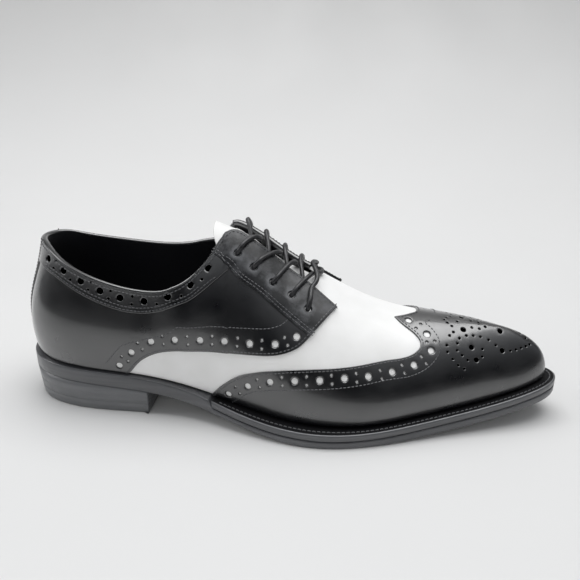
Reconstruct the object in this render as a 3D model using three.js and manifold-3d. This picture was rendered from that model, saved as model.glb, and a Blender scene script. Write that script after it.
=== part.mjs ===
// Two-tone derby shoe with a wing cap, right foot, standing empty on its heel and forefoot.
// Millimetres, +X to the toe, +Y to the medial side, +Z up, origin on the floor under the heel.

import * as THREE from 'three';
import { mergeVertices } from 'three/addons/utils/BufferGeometryUtils.js';
import Module from 'manifold-3d';

const wasm = await Module();
wasm.setup();

// Driving sizes of the last and the sole
const SOLE_LENGTH = 306;
const BALL_WIDTH = 90;
const INSTEP_HEIGHT = 92;
const HEEL_LIFT = 18.9;
const TOE_SPRING = 14.2;
const SOLE_THICKNESS = 9;
const TREAD_FLAT = 0.7;
const WELT_THICKNESS = 4;
const WELT_MARGIN = 8;
const WELT_GRIP = 6;
const INSOLE_THICKNESS = 3;
const HEEL_LENGTH = 76.5;
const HEEL_TAPER = 1.6;
const HEEL_REST = 38;

// Thicknesses and clearances of the leathers
const WALL = 1.6;
const OVERLAY = 1;
const SEAM = 0.3;
const TONGUE_THICKNESS = 1.6;
const TONGUE_REACH = 11;
const LACE_DIAMETER = 2.5;
const EYELET_DIAMETER = 4.2;
const TONGUE_LIFT = 0.12;
const LACE_HUMP = 1.5;

// Colours and finishes
const BLACK_LEATHER = { color: 0x16171a, roughness: 0.25, metalness: 0 };
const GREY_LEATHER = { color: 0x2b2d31, roughness: 0.45, metalness: 0 };
const WHITE_LEATHER = { color: 0xf1f1ef, roughness: 0.4, metalness: 0 };
const SOLE_BLACK = { color: 0x222427, roughness: 0.4, metalness: 0 };
const LINING_BLACK = { color: 0x101114, roughness: 0.7, metalness: 0 };
const LACE_BLACK = { color: 0x1d1e21, roughness: 0.6, metalness: 0 };

// Sections of the last from the heel back to the toe tip. Lengths along the shoe are shares of
// SOLE_LENGTH, widths of BALL_WIDTH, heights above the feather line of INSTEP_HEIGHT, margins of
// WELT_MARGIN, and leans and arrivals are degrees. Lateral widths are negative.
const SECTION_COLUMNS = ['x', 'featherL', 'featherM', 'aim', 'topXL', 'topXM', 'topL', 'topM',
  'heightL', 'heightM', 'leanL', 'leanM', 'rise', 'arrive', 'crownL', 'crownM', 'marginL', 'marginM'];
const SECTIONS = [
  [0.013, 0, 0, 0.111, 0.047, 0.047, 0, 0, 0.715, 0.715, 9, 9, 0.370, 80, 0.289, 0.289, 0.50, 0.50],
  [0.039, -0.228, 0.228, 0.111, 0.066, 0.064, -0.156, 0.156, 0.709, 0.695,
    12, 12, 0.370, 80, 0.289, 0.289, 0.40, 0.40],
  [0.105, -0.344, 0.333, 0.118, 0.114, 0.101, -0.272, 0.272, 0.632, 0.645,
    12, 12, 0.326, 80, 0.267, 0.267, 0.30, 0.30],
  [0.183, -0.367, 0.344, 0.186, 0.186, 0.186, -0.311, 0.311, 0.557, 0.620,
    10, 12, 0.304, 82, 0.222, 0.222, 0.28, 0.28],
  [0.261, -0.361, 0.317, 0.268, 0.261, 0.268, -0.311, 0.306, 0.545, 0.645,
    10, 16, 0.304, 80, 0.222, 0.222, 0.32, 0.28],
  [0.340, -0.372, 0.289, 0.340, 0.330, 0.340, -0.261, 0.261, 0.696, 0.772,
    10, 20, 0.326, 62, 0.267, 0.267, 0.50, 0.36],
  [0.418, -0.417, 0.306, 0.405, 0.392, 0.392, 0.033, 0.033, 1.000, 1.000,
    10, 22, 0.478, 0, 0.178, 0.178, 0.95, 0.60],
  [0.497, -0.494, 0.367, 0.477, 0.464, 0.464, 0.039, 0.039, 0.896, 0.896,
    12, 20, 0.370, 0, 0.244, 0.244, 1.10, 0.80],
  [0.575, -0.530, 0.444, 0.549, 0.539, 0.539, 0.044, 0.044, 0.748, 0.748,
    16, 16, 0.283, 0, 0.311, 0.311, 1.08, 0.88],
  [0.654, -0.494, 0.483, 0.624, 0.614, 0.614, 0.044, 0.044, 0.612, 0.612,
    20, 14, 0.217, 0, 0.344, 0.356, 0.90, 0.88],
  [0.729, -0.397, 0.461, 0.696, 0.686, 0.686, 0.044, 0.044, 0.510, 0.510,
    20, 14, 0.174, 0, 0.322, 0.367, 0.90, 0.88],
  [0.804, -0.294, 0.383, 0.758, 0.752, 0.752, 0.042, 0.042, 0.453, 0.453,
    18, 14, 0.141, 0, 0.278, 0.322, 0.90, 0.88],
  [0.879, -0.194, 0.283, 0.807, 0.804, 0.804, 0.038, 0.038, 0.402, 0.402,
    15, 12, 0.130, 0, 0.233, 0.278, 0.90, 0.88],
  [0.941, -0.094, 0.167, 0.843, 0.843, 0.843, 0.033, 0.033, 0.350, 0.350,
    12, 10, 0.120, 0, 0.222, 0.256, 0.90, 0.90],
  [0.974, 0.033, 0.033, 0.867, 0.870, 0.870, 0.033, 0.033, 0.314, 0.314,
    8, 8, 0.130, 0, 0.300, 0.300, 0.95, 0.95],
];

// Side profile of the feather line: shares of SOLE_LENGTH, HEEL_LIFT, TOE_SPRING and SOLE_THICKNESS
const PROFILE_COLUMNS = ['x', 'lift', 'spring', 'sole'];
const PROFILE = [
  [0.000, 1.000, 0.000, 0.96],
  [0.098, 0.947, 0.000, 0.96],
  [0.203, 0.841, 0.000, 0.95],
  [0.310, 0.577, 0.000, 0.90],
  [0.408, 0.233, 0.000, 0.84],
  [0.490, 0.063, 0.000, 0.88],
  [0.588, 0.000, 0.000, 1.00],
  [0.670, 0.000, 0.021, 1.00],
  [0.768, 0.000, 0.183, 1.00],
  [0.866, 0.000, 0.465, 1.00],
  [0.931, 0.000, 0.718, 1.00],
  [1.000, 0.000, 1.010, 1.00],
];

// Edges of the leathers. Along is the share of the way round from the heel back to the toe tip, and
// up is the share of the section from the feather line to the topline or the ridge.
const TOPLINE = [[0, 1], [0.33, 1], [0.36, 0.955], [0.385, 0.86], [0.4, 0.82]];
const FACING = [[0.4, 0.82], [0.414, 0.838], [0.43, 0.83], [0.447, 0.814], [0.465, 0.812], [0.485, 0.84],
  [0.505, 0.862], [0.53, 0.846], [0.557, 0.833], [0.575, 0.81], [0.606, 0.764]];
const THROAT_END = [[0.557, 0.833], [0.585, 1], [1, 1]];
const QUARTER_EDGE = [[0, 0], [0.244, 0], [0.2545, 0.055], [0.2645, 0.119], [0.282, 0.209], [0.304, 0.296],
  [0.336, 0.355], [0.378, 0.294], [0.419, 0.238], [0.456, 0.256], [0.481, 0.295], [0.515, 0.37],
  [0.539, 0.437], [0.557, 0.512], [0.5786, 0.618], [0.606, 0.764]];
const EYESTAY_SEAM = [[0.4, 0.82], [0.427, 0.6], [0.468, 0.545], [0.51, 0.552], [0.557, 0.512],
  [0.5786, 0.618], [0.606, 0.764]];
const BAND_TOP = [[0.062, 1], [0.33, 1], [0.36, 0.955], [0.385, 0.86], [0.397, 0.822], [0.424, 0.6]];
const BAND_EDGE = [[0.04, 0.81], [0.09, 0.83], [0.128, 0.842], [0.17, 0.811], [0.206, 0.773], [0.24, 0.745],
  [0.275, 0.764], [0.312, 0.827], [0.344, 0.826], [0.369, 0.735], [0.405, 0.618], [0.424, 0.597]];
// The cap's edge has its W tip beside the ridge, so each side has its own column: [up, lateral, medial].
const CAP_EDGE = [[0, 0.385, 0.385], [0.053, 0.397, 0.397], [0.106, 0.416, 0.416], [0.15, 0.438, 0.438],
  [0.178, 0.455, 0.455], [0.29, 0.514, 0.514], [0.388, 0.586, 0.58], [0.461, 0.634, 0.618],
  [0.532, 0.684, 0.652], [0.605, 0.733, 0.684], [0.665, 0.744, 0.706], [0.728, 0.742, 0.724],
  [0.783, 0.733, 0.737], [0.834, 0.722, 0.747], [0.892, 0.7135, 0.7545], [0.922, 0.729, 0.758],
  [0.966, 0.748, 0.7615], [1, 0.761, 0.761]];
const BACKSTAY_EDGE = [[0.026, 0], [0.03, 0.5], [0.036, 0.8], [0.055, 1]];
const EYELETS = [[0.44, 0.674], [0.467, 0.65], [0.499, 0.672], [0.53, 0.682], [0.556, 0.652]];
const WELT_START = 0.392;
const HEEL_BLANK_END = 0.33;

// Tongue from under the vamp to its free end: share of the way round, share of the section on each
// side of the ridge, depth under the last's skin in walls, and share of TONGUE_REACH past the instep
const TONGUE_COLUMNS = ['along', 'half', 'depth', 'reach'];
const TONGUE = [
  [0.640, 0.33, 1.50, 0],
  [0.610, 0.33, 1.60, 0],
  [0.585, 0.33, 1.75, 0],
  [0.557, 0.34, 2.10, 0],
  [0.530, 0.35, 2.50, 0],
  [0.505, 0.36, 2.70, 0],
  [0.480, 0.37, 2.60, 0],
  [0.455, 0.38, 2.50, 0],
  [0.432, 0.36, 2.50, 0],
  [0.432, 0.32, 2.50, 0.5],
  [0.432, 0.28, 2.50, 0.85],
  [0.432, 0.20, 2.50, 1],
];
const TONGUE_ACROSS = [-1, -0.66, -0.33, 0, 0.33, 0.66, 1];

const SIDES = { lateral: -1, medial: 1 };
const LAST_ROW = SECTIONS.length - 1;
const UP_AXIS = new THREE.Vector3(0, 0, 1);

const radians = THREE.MathUtils.degToRad;
const lerp = THREE.MathUtils.lerp;
const smoothstep = THREE.MathUtils.smoothstep;

function named(columns, row) {
  return Object.fromEntries(columns.map((name, i) => [name, row[i]]));
}

// Value of an edge table at a place along the shoe, on straight lines between its rows
function alongEdge(table, along, from = 0, to = 1) {
  const after = Math.max(1, table.findIndex((row) => row[from] >= along));
  const last = along > table[table.length - 1][from] ? table.length - 1 : after;
  const [a, b] = [table[last - 1], table[last]];
  const share = THREE.MathUtils.clamp((along - a[from]) / (b[from] - a[from]), 0, 1);
  return lerp(a[to], b[to], share);
}

// The section rows in a closed loop: out along the medial side and back along the lateral side
const LOOP_COLUMNS = ['x', 'y', 'aim', 'topX', 'topY', 'height', 'lean', 'rise', 'arrive', 'crown', 'margin'];
function loopValues(row, side) {
  const r = named(SECTION_COLUMNS, row);
  const pick = (name) => r[name + (side < 0 ? 'L' : 'M')];
  return [r.x, pick('feather'), r.aim, pick('topX'), pick('top'), pick('height'), pick('lean'), r.rise,
    r.arrive, pick('crown'), pick('margin')];
}
const LOOP = [
  ...SECTIONS.map((row) => loopValues(row, SIDES.medial)),
  ...SECTIONS.slice(1, LAST_ROW).reverse().map((row) => loopValues(row, SIDES.lateral)),
];

// Second derivatives of the closed cubic spline through one column of the loop
function closedSpline(values) {
  const count = values.length;
  const bend = new Array(count).fill(0);
  for (let pass = 0; pass < 80; pass += 1) {
    for (let i = 0; i < count; i += 1) {
      const before = (i + count - 1) % count;
      const after = (i + 1) % count;
      const drive = 6 * (values[after] - 2 * values[i] + values[before]);
      bend[i] = (drive - bend[before] - bend[after]) / 4;
    }
  }
  return bend;
}
const LOOP_BENDS = LOOP_COLUMNS.map((name, column) => closedSpline(LOOP.map((row) => row[column])));

// Section values at q, from -1 at the toe tip by the lateral side to 0 at the heel back and 1 at the toe
function section(q) {
  const count = LOOP.length;
  const place = (((q * LAST_ROW) % count) + count) % count;
  const i = Math.floor(place) % count;
  const j = (i + 1) % count;
  const f = place - Math.floor(place);
  const g = 1 - f;
  const row = LOOP_COLUMNS.map((name, column) => {
    const bend = LOOP_BENDS[column];
    return g * LOOP[i][column] + f * LOOP[j][column]
      + ((g ** 3 - g) * bend[i] + (f ** 3 - f) * bend[j]) / 6;
  });
  return named(LOOP_COLUMNS, row);
}

// Open cubic spline through the profile, with no bend at its ends
function profileSpline(column) {
  const xs = PROFILE.map((row) => row[0] * SOLE_LENGTH);
  const ys = PROFILE.map((row) => row[column]);
  const bend = new Array(xs.length).fill(0);
  for (let pass = 0; pass < 200; pass += 1) {
    for (let i = 1; i < xs.length - 1; i += 1) {
      const before = xs[i] - xs[i - 1];
      const after = xs[i + 1] - xs[i];
      const drive = 6 * ((ys[i + 1] - ys[i]) / after - (ys[i] - ys[i - 1]) / before);
      bend[i] = (drive - before * bend[i - 1] - after * bend[i + 1]) / (2 * (before + after));
    }
  }
  return (x) => {
    const i = THREE.MathUtils.clamp(xs.findIndex((value) => value > x) - 1, 0, xs.length - 2);
    const k = x >= xs[xs.length - 1] ? xs.length - 2 : i;
    const h = xs[k + 1] - xs[k];
    const f = (x - xs[k]) / h;
    const g = 1 - f;
    return g * ys[k] + f * ys[k + 1] + ((g ** 3 - g) * bend[k] + (f ** 3 - f) * bend[k + 1]) * h * h / 6;
  };
}
const [liftShare, springShare, soleShare] = PROFILE_COLUMNS.slice(1).map((name, i) => profileSpline(i + 1));

const BALL_SEAT = SOLE_THICKNESS + SEAM - TREAD_FLAT;
const featherHeight = (x) => BALL_SEAT + HEEL_LIFT * liftShare(x) + TOE_SPRING * springShare(x);
const soleTop = (x) => featherHeight(x) - SEAM;
const soleBottom = (x) => Math.max(0, soleTop(x) - SOLE_THICKNESS * soleShare(x));
const SPINE_OFFSET = BALL_WIDTH / 30;
const SPINE_START = SOLE_LENGTH / 5;
const spineY = (x) => SPINE_OFFSET * THREE.MathUtils.clamp(x / SPINE_START - 1, 0, 1);

// Top point of a section. Both sides meet on one ridge in front of the collar.
const RIDGE_BLEND = [0.43, 0.57];
function topPoint(q, s) {
  const other = section(-q);
  const round = Math.abs(q) > 1 ? 2 - Math.abs(q) : Math.abs(q);
  const share = 0.5 * smoothstep(round, ...RIDGE_BLEND);
  const base = featherHeight(s.x * SOLE_LENGTH);
  return new THREE.Vector3(
    lerp(s.topX, other.topX, share) * SOLE_LENGTH,
    lerp(s.topY, other.topY, share) * BALL_WIDTH,
    base + lerp(s.height, other.height, share) * INSTEP_HEIGHT,
  );
}

// Slope of the ridge at q, rise over run
const SLOPE_STEP = 0.03;
function ridgeSlope(q) {
  const round = Math.abs(q) > 1 ? 2 - Math.abs(q) : Math.abs(q);
  if (round < RIDGE_BLEND[0] - 0.01) return 0;
  const ahead = section(round);
  const behind = section(round - SLOPE_STEP);
  const height = (s) => featherHeight(s.x * SOLE_LENGTH) + s.height * INSTEP_HEIGHT;
  return (height(ahead) - height(behind)) / ((ahead.topX - behind.topX) * SOLE_LENGTH);
}

// Point of the last's skin: q round the loop, w from 0 at the feather line to 1 at the top
function lastPoint(q, w) {
  const s = section(q);
  const x = s.x * SOLE_LENGTH;
  const y = s.y * BALL_WIDTH;
  const foot = new THREE.Vector3(x, y, featherHeight(x));
  const top = topPoint(q, s);
  const inward = new THREE.Vector2(s.aim * SOLE_LENGTH - x, spineY(x) - y).normalize();
  const lean = radians(s.lean);
  const arrive = radians(s.arrive);
  const rise = s.rise * INSTEP_HEIGHT;
  const crown = s.crown * BALL_WIDTH;
  const lower = new THREE.Vector3(-inward.x * Math.sin(lean), -inward.y * Math.sin(lean), Math.cos(lean))
    .multiplyScalar(rise).add(foot);
  const tilt = Math.sin(arrive) + Math.cos(arrive) * inward.x * ridgeSlope(q);
  const upper = new THREE.Vector3(-inward.x * Math.cos(arrive), -inward.y * Math.cos(arrive), -tilt)
    .multiplyScalar(crown).add(top);
  const v = 1 - w;
  return foot.multiplyScalar(v ** 3)
    .addScaledVector(lower, 3 * v * v * w)
    .addScaledVector(upper, 3 * v * w * w)
    .addScaledVector(top, w ** 3);
}

const STEP = 0.002;
const onRidge = (q, w) => w > 1 - STEP / 2 && Math.abs(q) >= RIDGE_BLEND[1];
function sideNormal(q, w) {
  const up = lastPoint(q, w + STEP).sub(lastPoint(q, w - STEP));
  const round = lastPoint(q + STEP, w).sub(lastPoint(q - STEP, w));
  return up.cross(round).normalize();
}
function skinNormal(q, w) {
  const normal = sideNormal(q, w);
  return onRidge(q, w) ? normal.add(sideNormal(-q, w)).normalize() : normal;
}
const skin = (q, w, lift) => lastPoint(q, w).addScaledVector(skinNormal(q, w), lift);
const ridgeMiddle = (along, lift) => skin(along, 1, lift).add(skin(-along, 1, lift)).multiplyScalar(0.5);

// A closed solid between two sheets that share one grid. place(a, b, level) gives a point of the
// low sheet at level 0 and of the high sheet at level 1, and points that coincide are one point.
const POINTS_PER_MM = 500;
function slab(grid, place) {
  const low = [];
  const high = [];
  const seen = new Map();
  const index = grid.map((line) => line.map(([a, b]) => {
    const top = place(a, b, 1);
    const key = top.toArray().map((value) => Math.round(value * POINTS_PER_MM)).join();
    if (!seen.has(key)) {
      seen.set(key, high.length);
      high.push(top);
      low.push(place(a, b, 0));
    }
    return seen.get(key);
  }));
  const faces = [];
  const addFace = (a, b, c) => {
    if (a !== b && b !== c && c !== a) faces.push([a, b, c]);
  };
  for (let i = 0; i + 1 < index.length; i += 1) {
    for (let j = 0; j + 1 < index[i].length; j += 1) {
      const [a, b, c, d] = [index[i][j], index[i + 1][j], index[i + 1][j + 1], index[i][j + 1]];
      addFace(a, d, c);
      addFace(a, c, b);
    }
  }
  const count = high.length;
  const triangles = [];
  const edges = new Map();
  for (const [a, b, c] of faces) {
    triangles.push(a + count, b + count, c + count, a, c, b);
    for (const [m, n] of [[a, b], [b, c], [c, a]]) {
      if (edges.has(`${n},${m}`)) edges.delete(`${n},${m}`);
      else edges.set(`${m},${n}`, [m, n]);
    }
  }
  for (const [m, n] of edges.values()) triangles.push(n + count, m + count, m, n + count, m, n);
  const geometry = new THREE.BufferGeometry();
  const points = [...low, ...high].flatMap((point) => point.toArray());
  geometry.setAttribute('position', new THREE.Float32BufferAttribute(points, 3));
  geometry.setIndex(triangles);
  return facingOut(geometry);
}

function facingOut(geometry) {
  const position = geometry.getAttribute('position');
  const index = geometry.getIndex().array;
  const [a, b, c] = [new THREE.Vector3(), new THREE.Vector3(), new THREE.Vector3()];
  let volume = 0;
  for (let i = 0; i < index.length; i += 3) {
    a.fromBufferAttribute(position, index[i]);
    b.fromBufferAttribute(position, index[i + 1]);
    c.fromBufferAttribute(position, index[i + 2]);
    volume += a.dot(b.cross(c));
  }
  if (volume < 0) geometry.setIndex(Array.from(index).reverse());
  return geometry;
}

// Between a closed mesh and a solid that can be cut and joined
function toSolid(geometry) {
  const bare = geometry.clone();
  bare.deleteAttribute('normal');
  bare.deleteAttribute('uv');
  const merged = mergeVertices(bare, 1e-4);
  return new wasm.Manifold(new wasm.Mesh({
    numProp: 3,
    vertProperties: new Float32Array(merged.getAttribute('position').array),
    triVerts: new Uint32Array(merged.getIndex().array),
  }));
}

function toGeometry(solid) {
  const mesh = solid.getMesh();
  const geometry = new THREE.BufferGeometry();
  geometry.setAttribute('position', new THREE.BufferAttribute(new Float32Array(mesh.vertProperties), 3));
  geometry.setIndex(Array.from(mesh.triVerts));
  return geometry;
}

function cut(geometry, tools) {
  return toGeometry(tools.reduce((solid, tool) => solid.subtract(tool), toSolid(geometry)));
}

// Leather over the last's skin between two lifts, trimmed level with the feather line
function leather(grid, low, high) {
  return slab(grid, (q, w, level) => {
    const point = skin(q, w, level ? high : low);
    point.z = Math.max(point.z, featherHeight(point.x));
    return point;
  });
}
const even = (count) => Array.from({ length: count + 1 }, (_, i) => i / count);
const loopOf = (stations) => [...stations.slice(1).reverse().map((along) => -along), ...stations];

const topline = (along) => alongEdge(TOPLINE, along);
const facing = (along) => alongEdge(FACING, along);
const quarterTop = (along) => (along < TOPLINE[TOPLINE.length - 1][0] ? topline(along) : facing(along));
const throatStart = THROAT_END[0][0];
const upperTop = (along) => (along < throatStart ? quarterTop(along) : alongEdge(THROAT_END, along));

// The upper's own grid, which every leather laid on it shares
const STATIONS = [0, 0.035, 0.075, 0.125, 0.175, 0.225, 0.28, 0.33, 0.36, 0.385, 0.4, 0.416, 0.437, 0.465,
  0.495, 0.53, 0.557, 0.585, 0.62, 0.665, 0.71, 0.76, 0.81, 0.86, 0.905, 0.945, 0.975, 1];
const ROWS = [0, 0.1, 0.26, 0.43, 0.6, 0.76, 0.89, 1];
const UPPER_GRID = loopOf(STATIONS).map((q) => ROWS.map((share) => [q, share * upperTop(Math.abs(q))]));

// Layers laid on the upper: panels first, then trims
const [PANEL_LAYER, TRIM_LAYER] = [0, 1].map((step) => {
  const low = SEAM + step * (OVERLAY + SEAM);
  return { low, high: low + OVERLAY, form: toSolid(leather(UPPER_GRID, low, low + OVERLAY)) };
});

// A cutting form over a grid, deep enough to pass through every layer
const CUT_DEPTH = 3 * OVERLAY;
const CUT_HEIGHT = 5 * OVERLAY;
function pieceOf(layer, grid) {
  const cutter = slab(grid, (q, w, level) => skin(q, w, level ? CUT_HEIGHT : -CUT_DEPTH));
  return toGeometry(layer.form.intersect(toSolid(cutter)));
}

// Grid of one side's panel between a lower and an upper edge
function panel(side, stations, bottom, top, rows) {
  return stations.map((along) => even(rows).map((share) => [
    side * along,
    lerp(bottom(along), top(along), share),
  ]));
}
const OVERRUN = 0.04;
const above = (edge) => (along) => edge(along) + OVERRUN;
const edgeOf = (table) => (along) => alongEdge(table, along);

// Wing cap: from its winged edge to the toe on both sides, joined over the ridge
const CAP_ROWS = [-OVERRUN, ...CAP_EDGE.map(([up]) => up)];
const CAP_COLUMNS = 7;
function wingCap() {
  const half = (side) => even(CAP_COLUMNS).map((share) => CAP_ROWS.map((up) => [
    side * lerp(alongEdge(CAP_EDGE, up, 0, side < 0 ? 1 : 2), 1, share),
    up,
  ]));
  return pieceOf(PANEL_LAYER, [...half(SIDES.medial), ...half(SIDES.lateral).reverse().slice(1)]);
}

// Quarter: from the heel seam to the front corner of the facing, on under the trims
const HEEL_SEAM = 0.0008;
const BEHIND_CORNER = [HEEL_SEAM, 0.03, 0.06, 0.09, 0.125, 0.165, 0.21, 0.244, 0.2545, 0.2645, 0.282, 0.304,
  0.336, 0.36, 0.378, 0.4, 0.419, 0.438, 0.456, 0.481, 0.515, 0.539, 0.557];
const CORNER = [0.5786, 0.606];
function facingCutTop(along) {
  return along < throatStart ? quarterTop(along) + OVERRUN : facing(along);
}
function quarter(side) {
  const bottom = (along) => {
    const edge = alongEdge(QUARTER_EDGE, along);
    return edge > 0 ? edge : -OVERRUN;
  };
  return pieceOf(PANEL_LAYER, panel(side, [...BEHIND_CORNER, ...CORNER], bottom, facingCutTop, 5));
}

// Eyestay on the quarter, from the topline to the pointed front corner
const EYESTAY_STATIONS = [0.4, 0.407, 0.414, 0.427, 0.447, 0.468, 0.49, 0.51, 0.53, 0.556, ...CORNER];
function eyestay(side) {
  const top = (along) => (along > EYESTAY_STATIONS[0] ? facingCutTop(along) : facing(along));
  return pieceOf(TRIM_LAYER, panel(side, EYESTAY_STATIONS, edgeOf(EYESTAY_SEAM), top, 3));
}

// Collar band round the topline, from the backstay to the eyestay
const BAND_STATIONS = [0.062, 0.09, 0.128, 0.17, 0.206, 0.24, 0.275, 0.312, 0.344, 0.36, 0.385, 0.397, 0.411,
  0.424];
function collarBand(side) {
  const top = (along) => alongEdge(BAND_TOP, along) + (along < TOPLINE[3][0] ? OVERRUN : 0);
  return pieceOf(TRIM_LAYER, panel(side, BAND_STATIONS, edgeOf(BAND_EDGE), top, 2));
}

// Backstay over the heel seam, wider where it laps the topline
function backstay() {
  const rows = [-OVERRUN, 0.25, 0.5, 0.65, 0.8, 0.9, 1 + OVERRUN];
  const grid = [-1, -0.5, 0, 0.5, 1].map((share) => rows.map((up) => [
    share * alongEdge(BACKSTAY_EDGE, up, 1, 0),
    up,
  ]));
  return pieceOf(TRIM_LAYER, grid);
}

// Lace holes through the facing's leathers
const EYELET_SIDES = 8;
function eyeletCutters(side) {
  const radius = EYELET_DIAMETER / 2;
  const reach = 4 * (WALL + 2 * (OVERLAY + SEAM));
  return EYELETS.map(([along, up]) => {
    const drill = new THREE.CylinderGeometry(radius, radius, reach, EYELET_SIDES);
    const normal = skinNormal(side * along, up);
    const turn = new THREE.Quaternion().setFromUnitVectors(new THREE.Vector3(0, 1, 0), normal);
    const spot = skin(side * along, up, 0);
    drill.applyMatrix4(new THREE.Matrix4().compose(spot, turn, new THREE.Vector3(1, 1, 1)));
    return toSolid(drill);
  });
}

// Tongue: on the ridge, between the facings, with a free end past the top of the throat
function tongue() {
  const rows = TONGUE.map((row) => named(TONGUE_COLUMNS, row));
  const [before, end] = rows.filter((row) => row.reach === 0).slice(-2);
  const away = ridgeMiddle(end.along, 0).sub(ridgeMiddle(before.along, 0)).normalize();
  away.lerp(UP_AXIS, TONGUE_LIFT).normalize();
  const grid = rows.map((row, i) => TONGUE_ACROSS.map((share) => [i, share]));
  return slab(grid, (i, share, level) => {
    const row = rows[i];
    const w = 1 - Math.abs(share) * row.half;
    const lift = -row.depth * WALL - SEAM - (level ? 0 : TONGUE_THICKNESS);
    const onSide = (side) => skin(side * row.along, w, lift);
    const point = share === 0 ? onSide(-1).add(onSide(1)).multiplyScalar(0.5) : onSide(Math.sign(share));
    return point.addScaledVector(away, row.reach * TONGUE_REACH);
  });
}

// Plan outlines round the feather line, set out or in by a distance
function outline(q, distance) {
  const at = (place) => {
    const s = section(place);
    return new THREE.Vector2(s.x * SOLE_LENGTH, s.y * BALL_WIDTH);
  };
  const along = at(q + STEP).sub(at(q - STEP)).normalize();
  const point = at(q);
  return point.add(new THREE.Vector2(-along.y, along.x).multiplyScalar(distance));
}
const soleEdge = (q, extra = 0) => outline(q, section(q).margin * WELT_MARGIN + extra);
function spinePoint(q) {
  const x = Math.max(section(q).aim * SOLE_LENGTH, HEEL_REST);
  return new THREE.Vector2(x, spineY(x));
}

// Flat-lying plate from the spine to an outline, between two heights that follow the profile
function plate(stations, rings, edge, heights) {
  const grid = stations.map((q) => rings.map((ring) => [q, ring]));
  return slab(grid, (q, ring, level) => {
    const spot = spinePoint(q).lerp(edge(q, level), ring);
    return new THREE.Vector3(spot.x, spot.y, heights[level](spot.x));
  });
}
const SOLE_STATIONS = STATIONS.filter((along, i) => along < 0.38 || along > 0.6 || i % 2 === 0);
const SOLE_RINGS = [0, 0.5, 1];

// Welt: a strip round the forefoot, gripped between the upper and the outsole's edge
function weltStrip(start, innerEdge, outerEdge, low, high) {
  const stations = [start, ...SOLE_STATIONS.filter((along) => along > WELT_START)];
  const grid = [...stations, ...stations.slice(0, -1).reverse().map((along) => -along)]
    .map((q) => [0, 1].map((ring) => [q, ring]));
  return slab(grid, (q, ring, level) => {
    const spot = innerEdge(q).lerp(outerEdge(q), ring);
    return new THREE.Vector3(spot.x, spot.y, soleTop(spot.x) + (level ? high : low));
  });
}
const welt = () => weltStrip(WELT_START, (q) => outline(q, -WELT_GRIP), soleEdge, -WELT_THICKNESS, 0);

// Outsole: full length, rebated round the forefoot for the welt
function outsole() {
  const blank = plate(loopOf(SOLE_STATIONS), SOLE_RINGS, (q) => soleEdge(q), [soleBottom, soleTop]);
  const start = WELT_START - 2 * SEAM / SOLE_LENGTH;
  const inner = (q) => outline(q, -WELT_GRIP - SEAM);
  const outer = (q) => soleEdge(q, WELT_MARGIN);
  const rebate = weltStrip(start, inner, outer, -WELT_THICKNESS - SEAM, SOLE_THICKNESS);
  return cut(blank, [toSolid(rebate)]);
}

// Heel: the outsole's outline, tapered to the floor and cut straight across at its breast
function heel() {
  const stations = loopOf(SOLE_STATIONS.filter((along) => along < HEEL_BLANK_END));
  const edge = (q, level) => soleEdge(q, level ? 0 : -HEEL_TAPER);
  const blank = plate(stations, [0, 1], edge, [() => 0, (x) => soleBottom(x) - SEAM]);
  const keep = new THREE.BoxGeometry(2 * HEEL_LENGTH, 2 * BALL_WIDTH, 4 * HEEL_LIFT);
  return toGeometry(toSolid(blank).intersect(toSolid(keep)));
}

// Insole inside the upper's wall, on the outsole
function insole() {
  const inset = -(WALL + 2 * SEAM);
  const heights = [(x) => soleTop(x) + SEAM, (x) => soleTop(x) + SEAM + INSOLE_THICKNESS];
  return plate(loopOf(SOLE_STATIONS), SOLE_RINGS, (q) => outline(q, inset), heights);
}

// Laces: each strand runs from on top of an eyelet over the facing's edge and dives beside the other
const LACE_LIFT = TRIM_LAYER.high + 2 * SEAM + LACE_DIAMETER / 2;
const LACE_SIDES = 6;
const STRAND_STEPS = 8;
const BAR_STEPS = 12;

// Places on a strand's way to the next eyelet, as shares of the way along the shoe and up the section
const OVER_EDGE = { along: 0.18, up: 1.1 };
const UNDER_EDGE = { along: 0.85, up: 0.4 };
function strand(points, steps) {
  const section = new THREE.Shape(Array.from({ length: LACE_SIDES }, (_, i) => {
    const angle = 2 * Math.PI * i / LACE_SIDES;
    return new THREE.Vector2(Math.cos(angle), Math.sin(angle)).multiplyScalar(LACE_DIAMETER / 2);
  }));
  const extrudePath = new THREE.CatmullRomCurve3(points);
  const tube = new THREE.ExtrudeGeometry(section, { steps, bevelEnabled: false, extrudePath });
  return toSolid(tube);
}
function laceStrand(side, i) {
  const [here, up] = EYELETS[i];
  const [next] = EYELETS[i + 1];
  const along = (share) => lerp(here, next, share);
  return strand([
    skin(side * here, up, LACE_LIFT),
    skin(side * along(OVER_EDGE.along), lerp(up, facing(here), OVER_EDGE.up), LACE_LIFT),
    ridgeMiddle(along(0.5), LACE_LIFT - LACE_DIAMETER),
    skin(-side * along(UNDER_EDGE.along), lerp(facing(next), 1, UNDER_EDGE.up), -SEAM),
  ], STRAND_STEPS);
}
const laceCrossing = (i) => toGeometry(laceStrand(SIDES.lateral, i).add(laceStrand(SIDES.medial, i)));
function laceBar() {
  const [along, up] = EYELETS[EYELETS.length - 1];
  const over = (side, share) => skin(side * along, lerp(up, 1, share), LACE_LIFT + LACE_HUMP * share);
  const { lateral, medial } = SIDES;
  const middle = ridgeMiddle(along, LACE_LIFT + LACE_DIAMETER / 2);
  const points = [over(lateral, 0), over(lateral, 0.6), middle, over(medial, 0.6), over(medial, 0)];
  return toGeometry(strand(points, BAR_STEPS));
}

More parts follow.
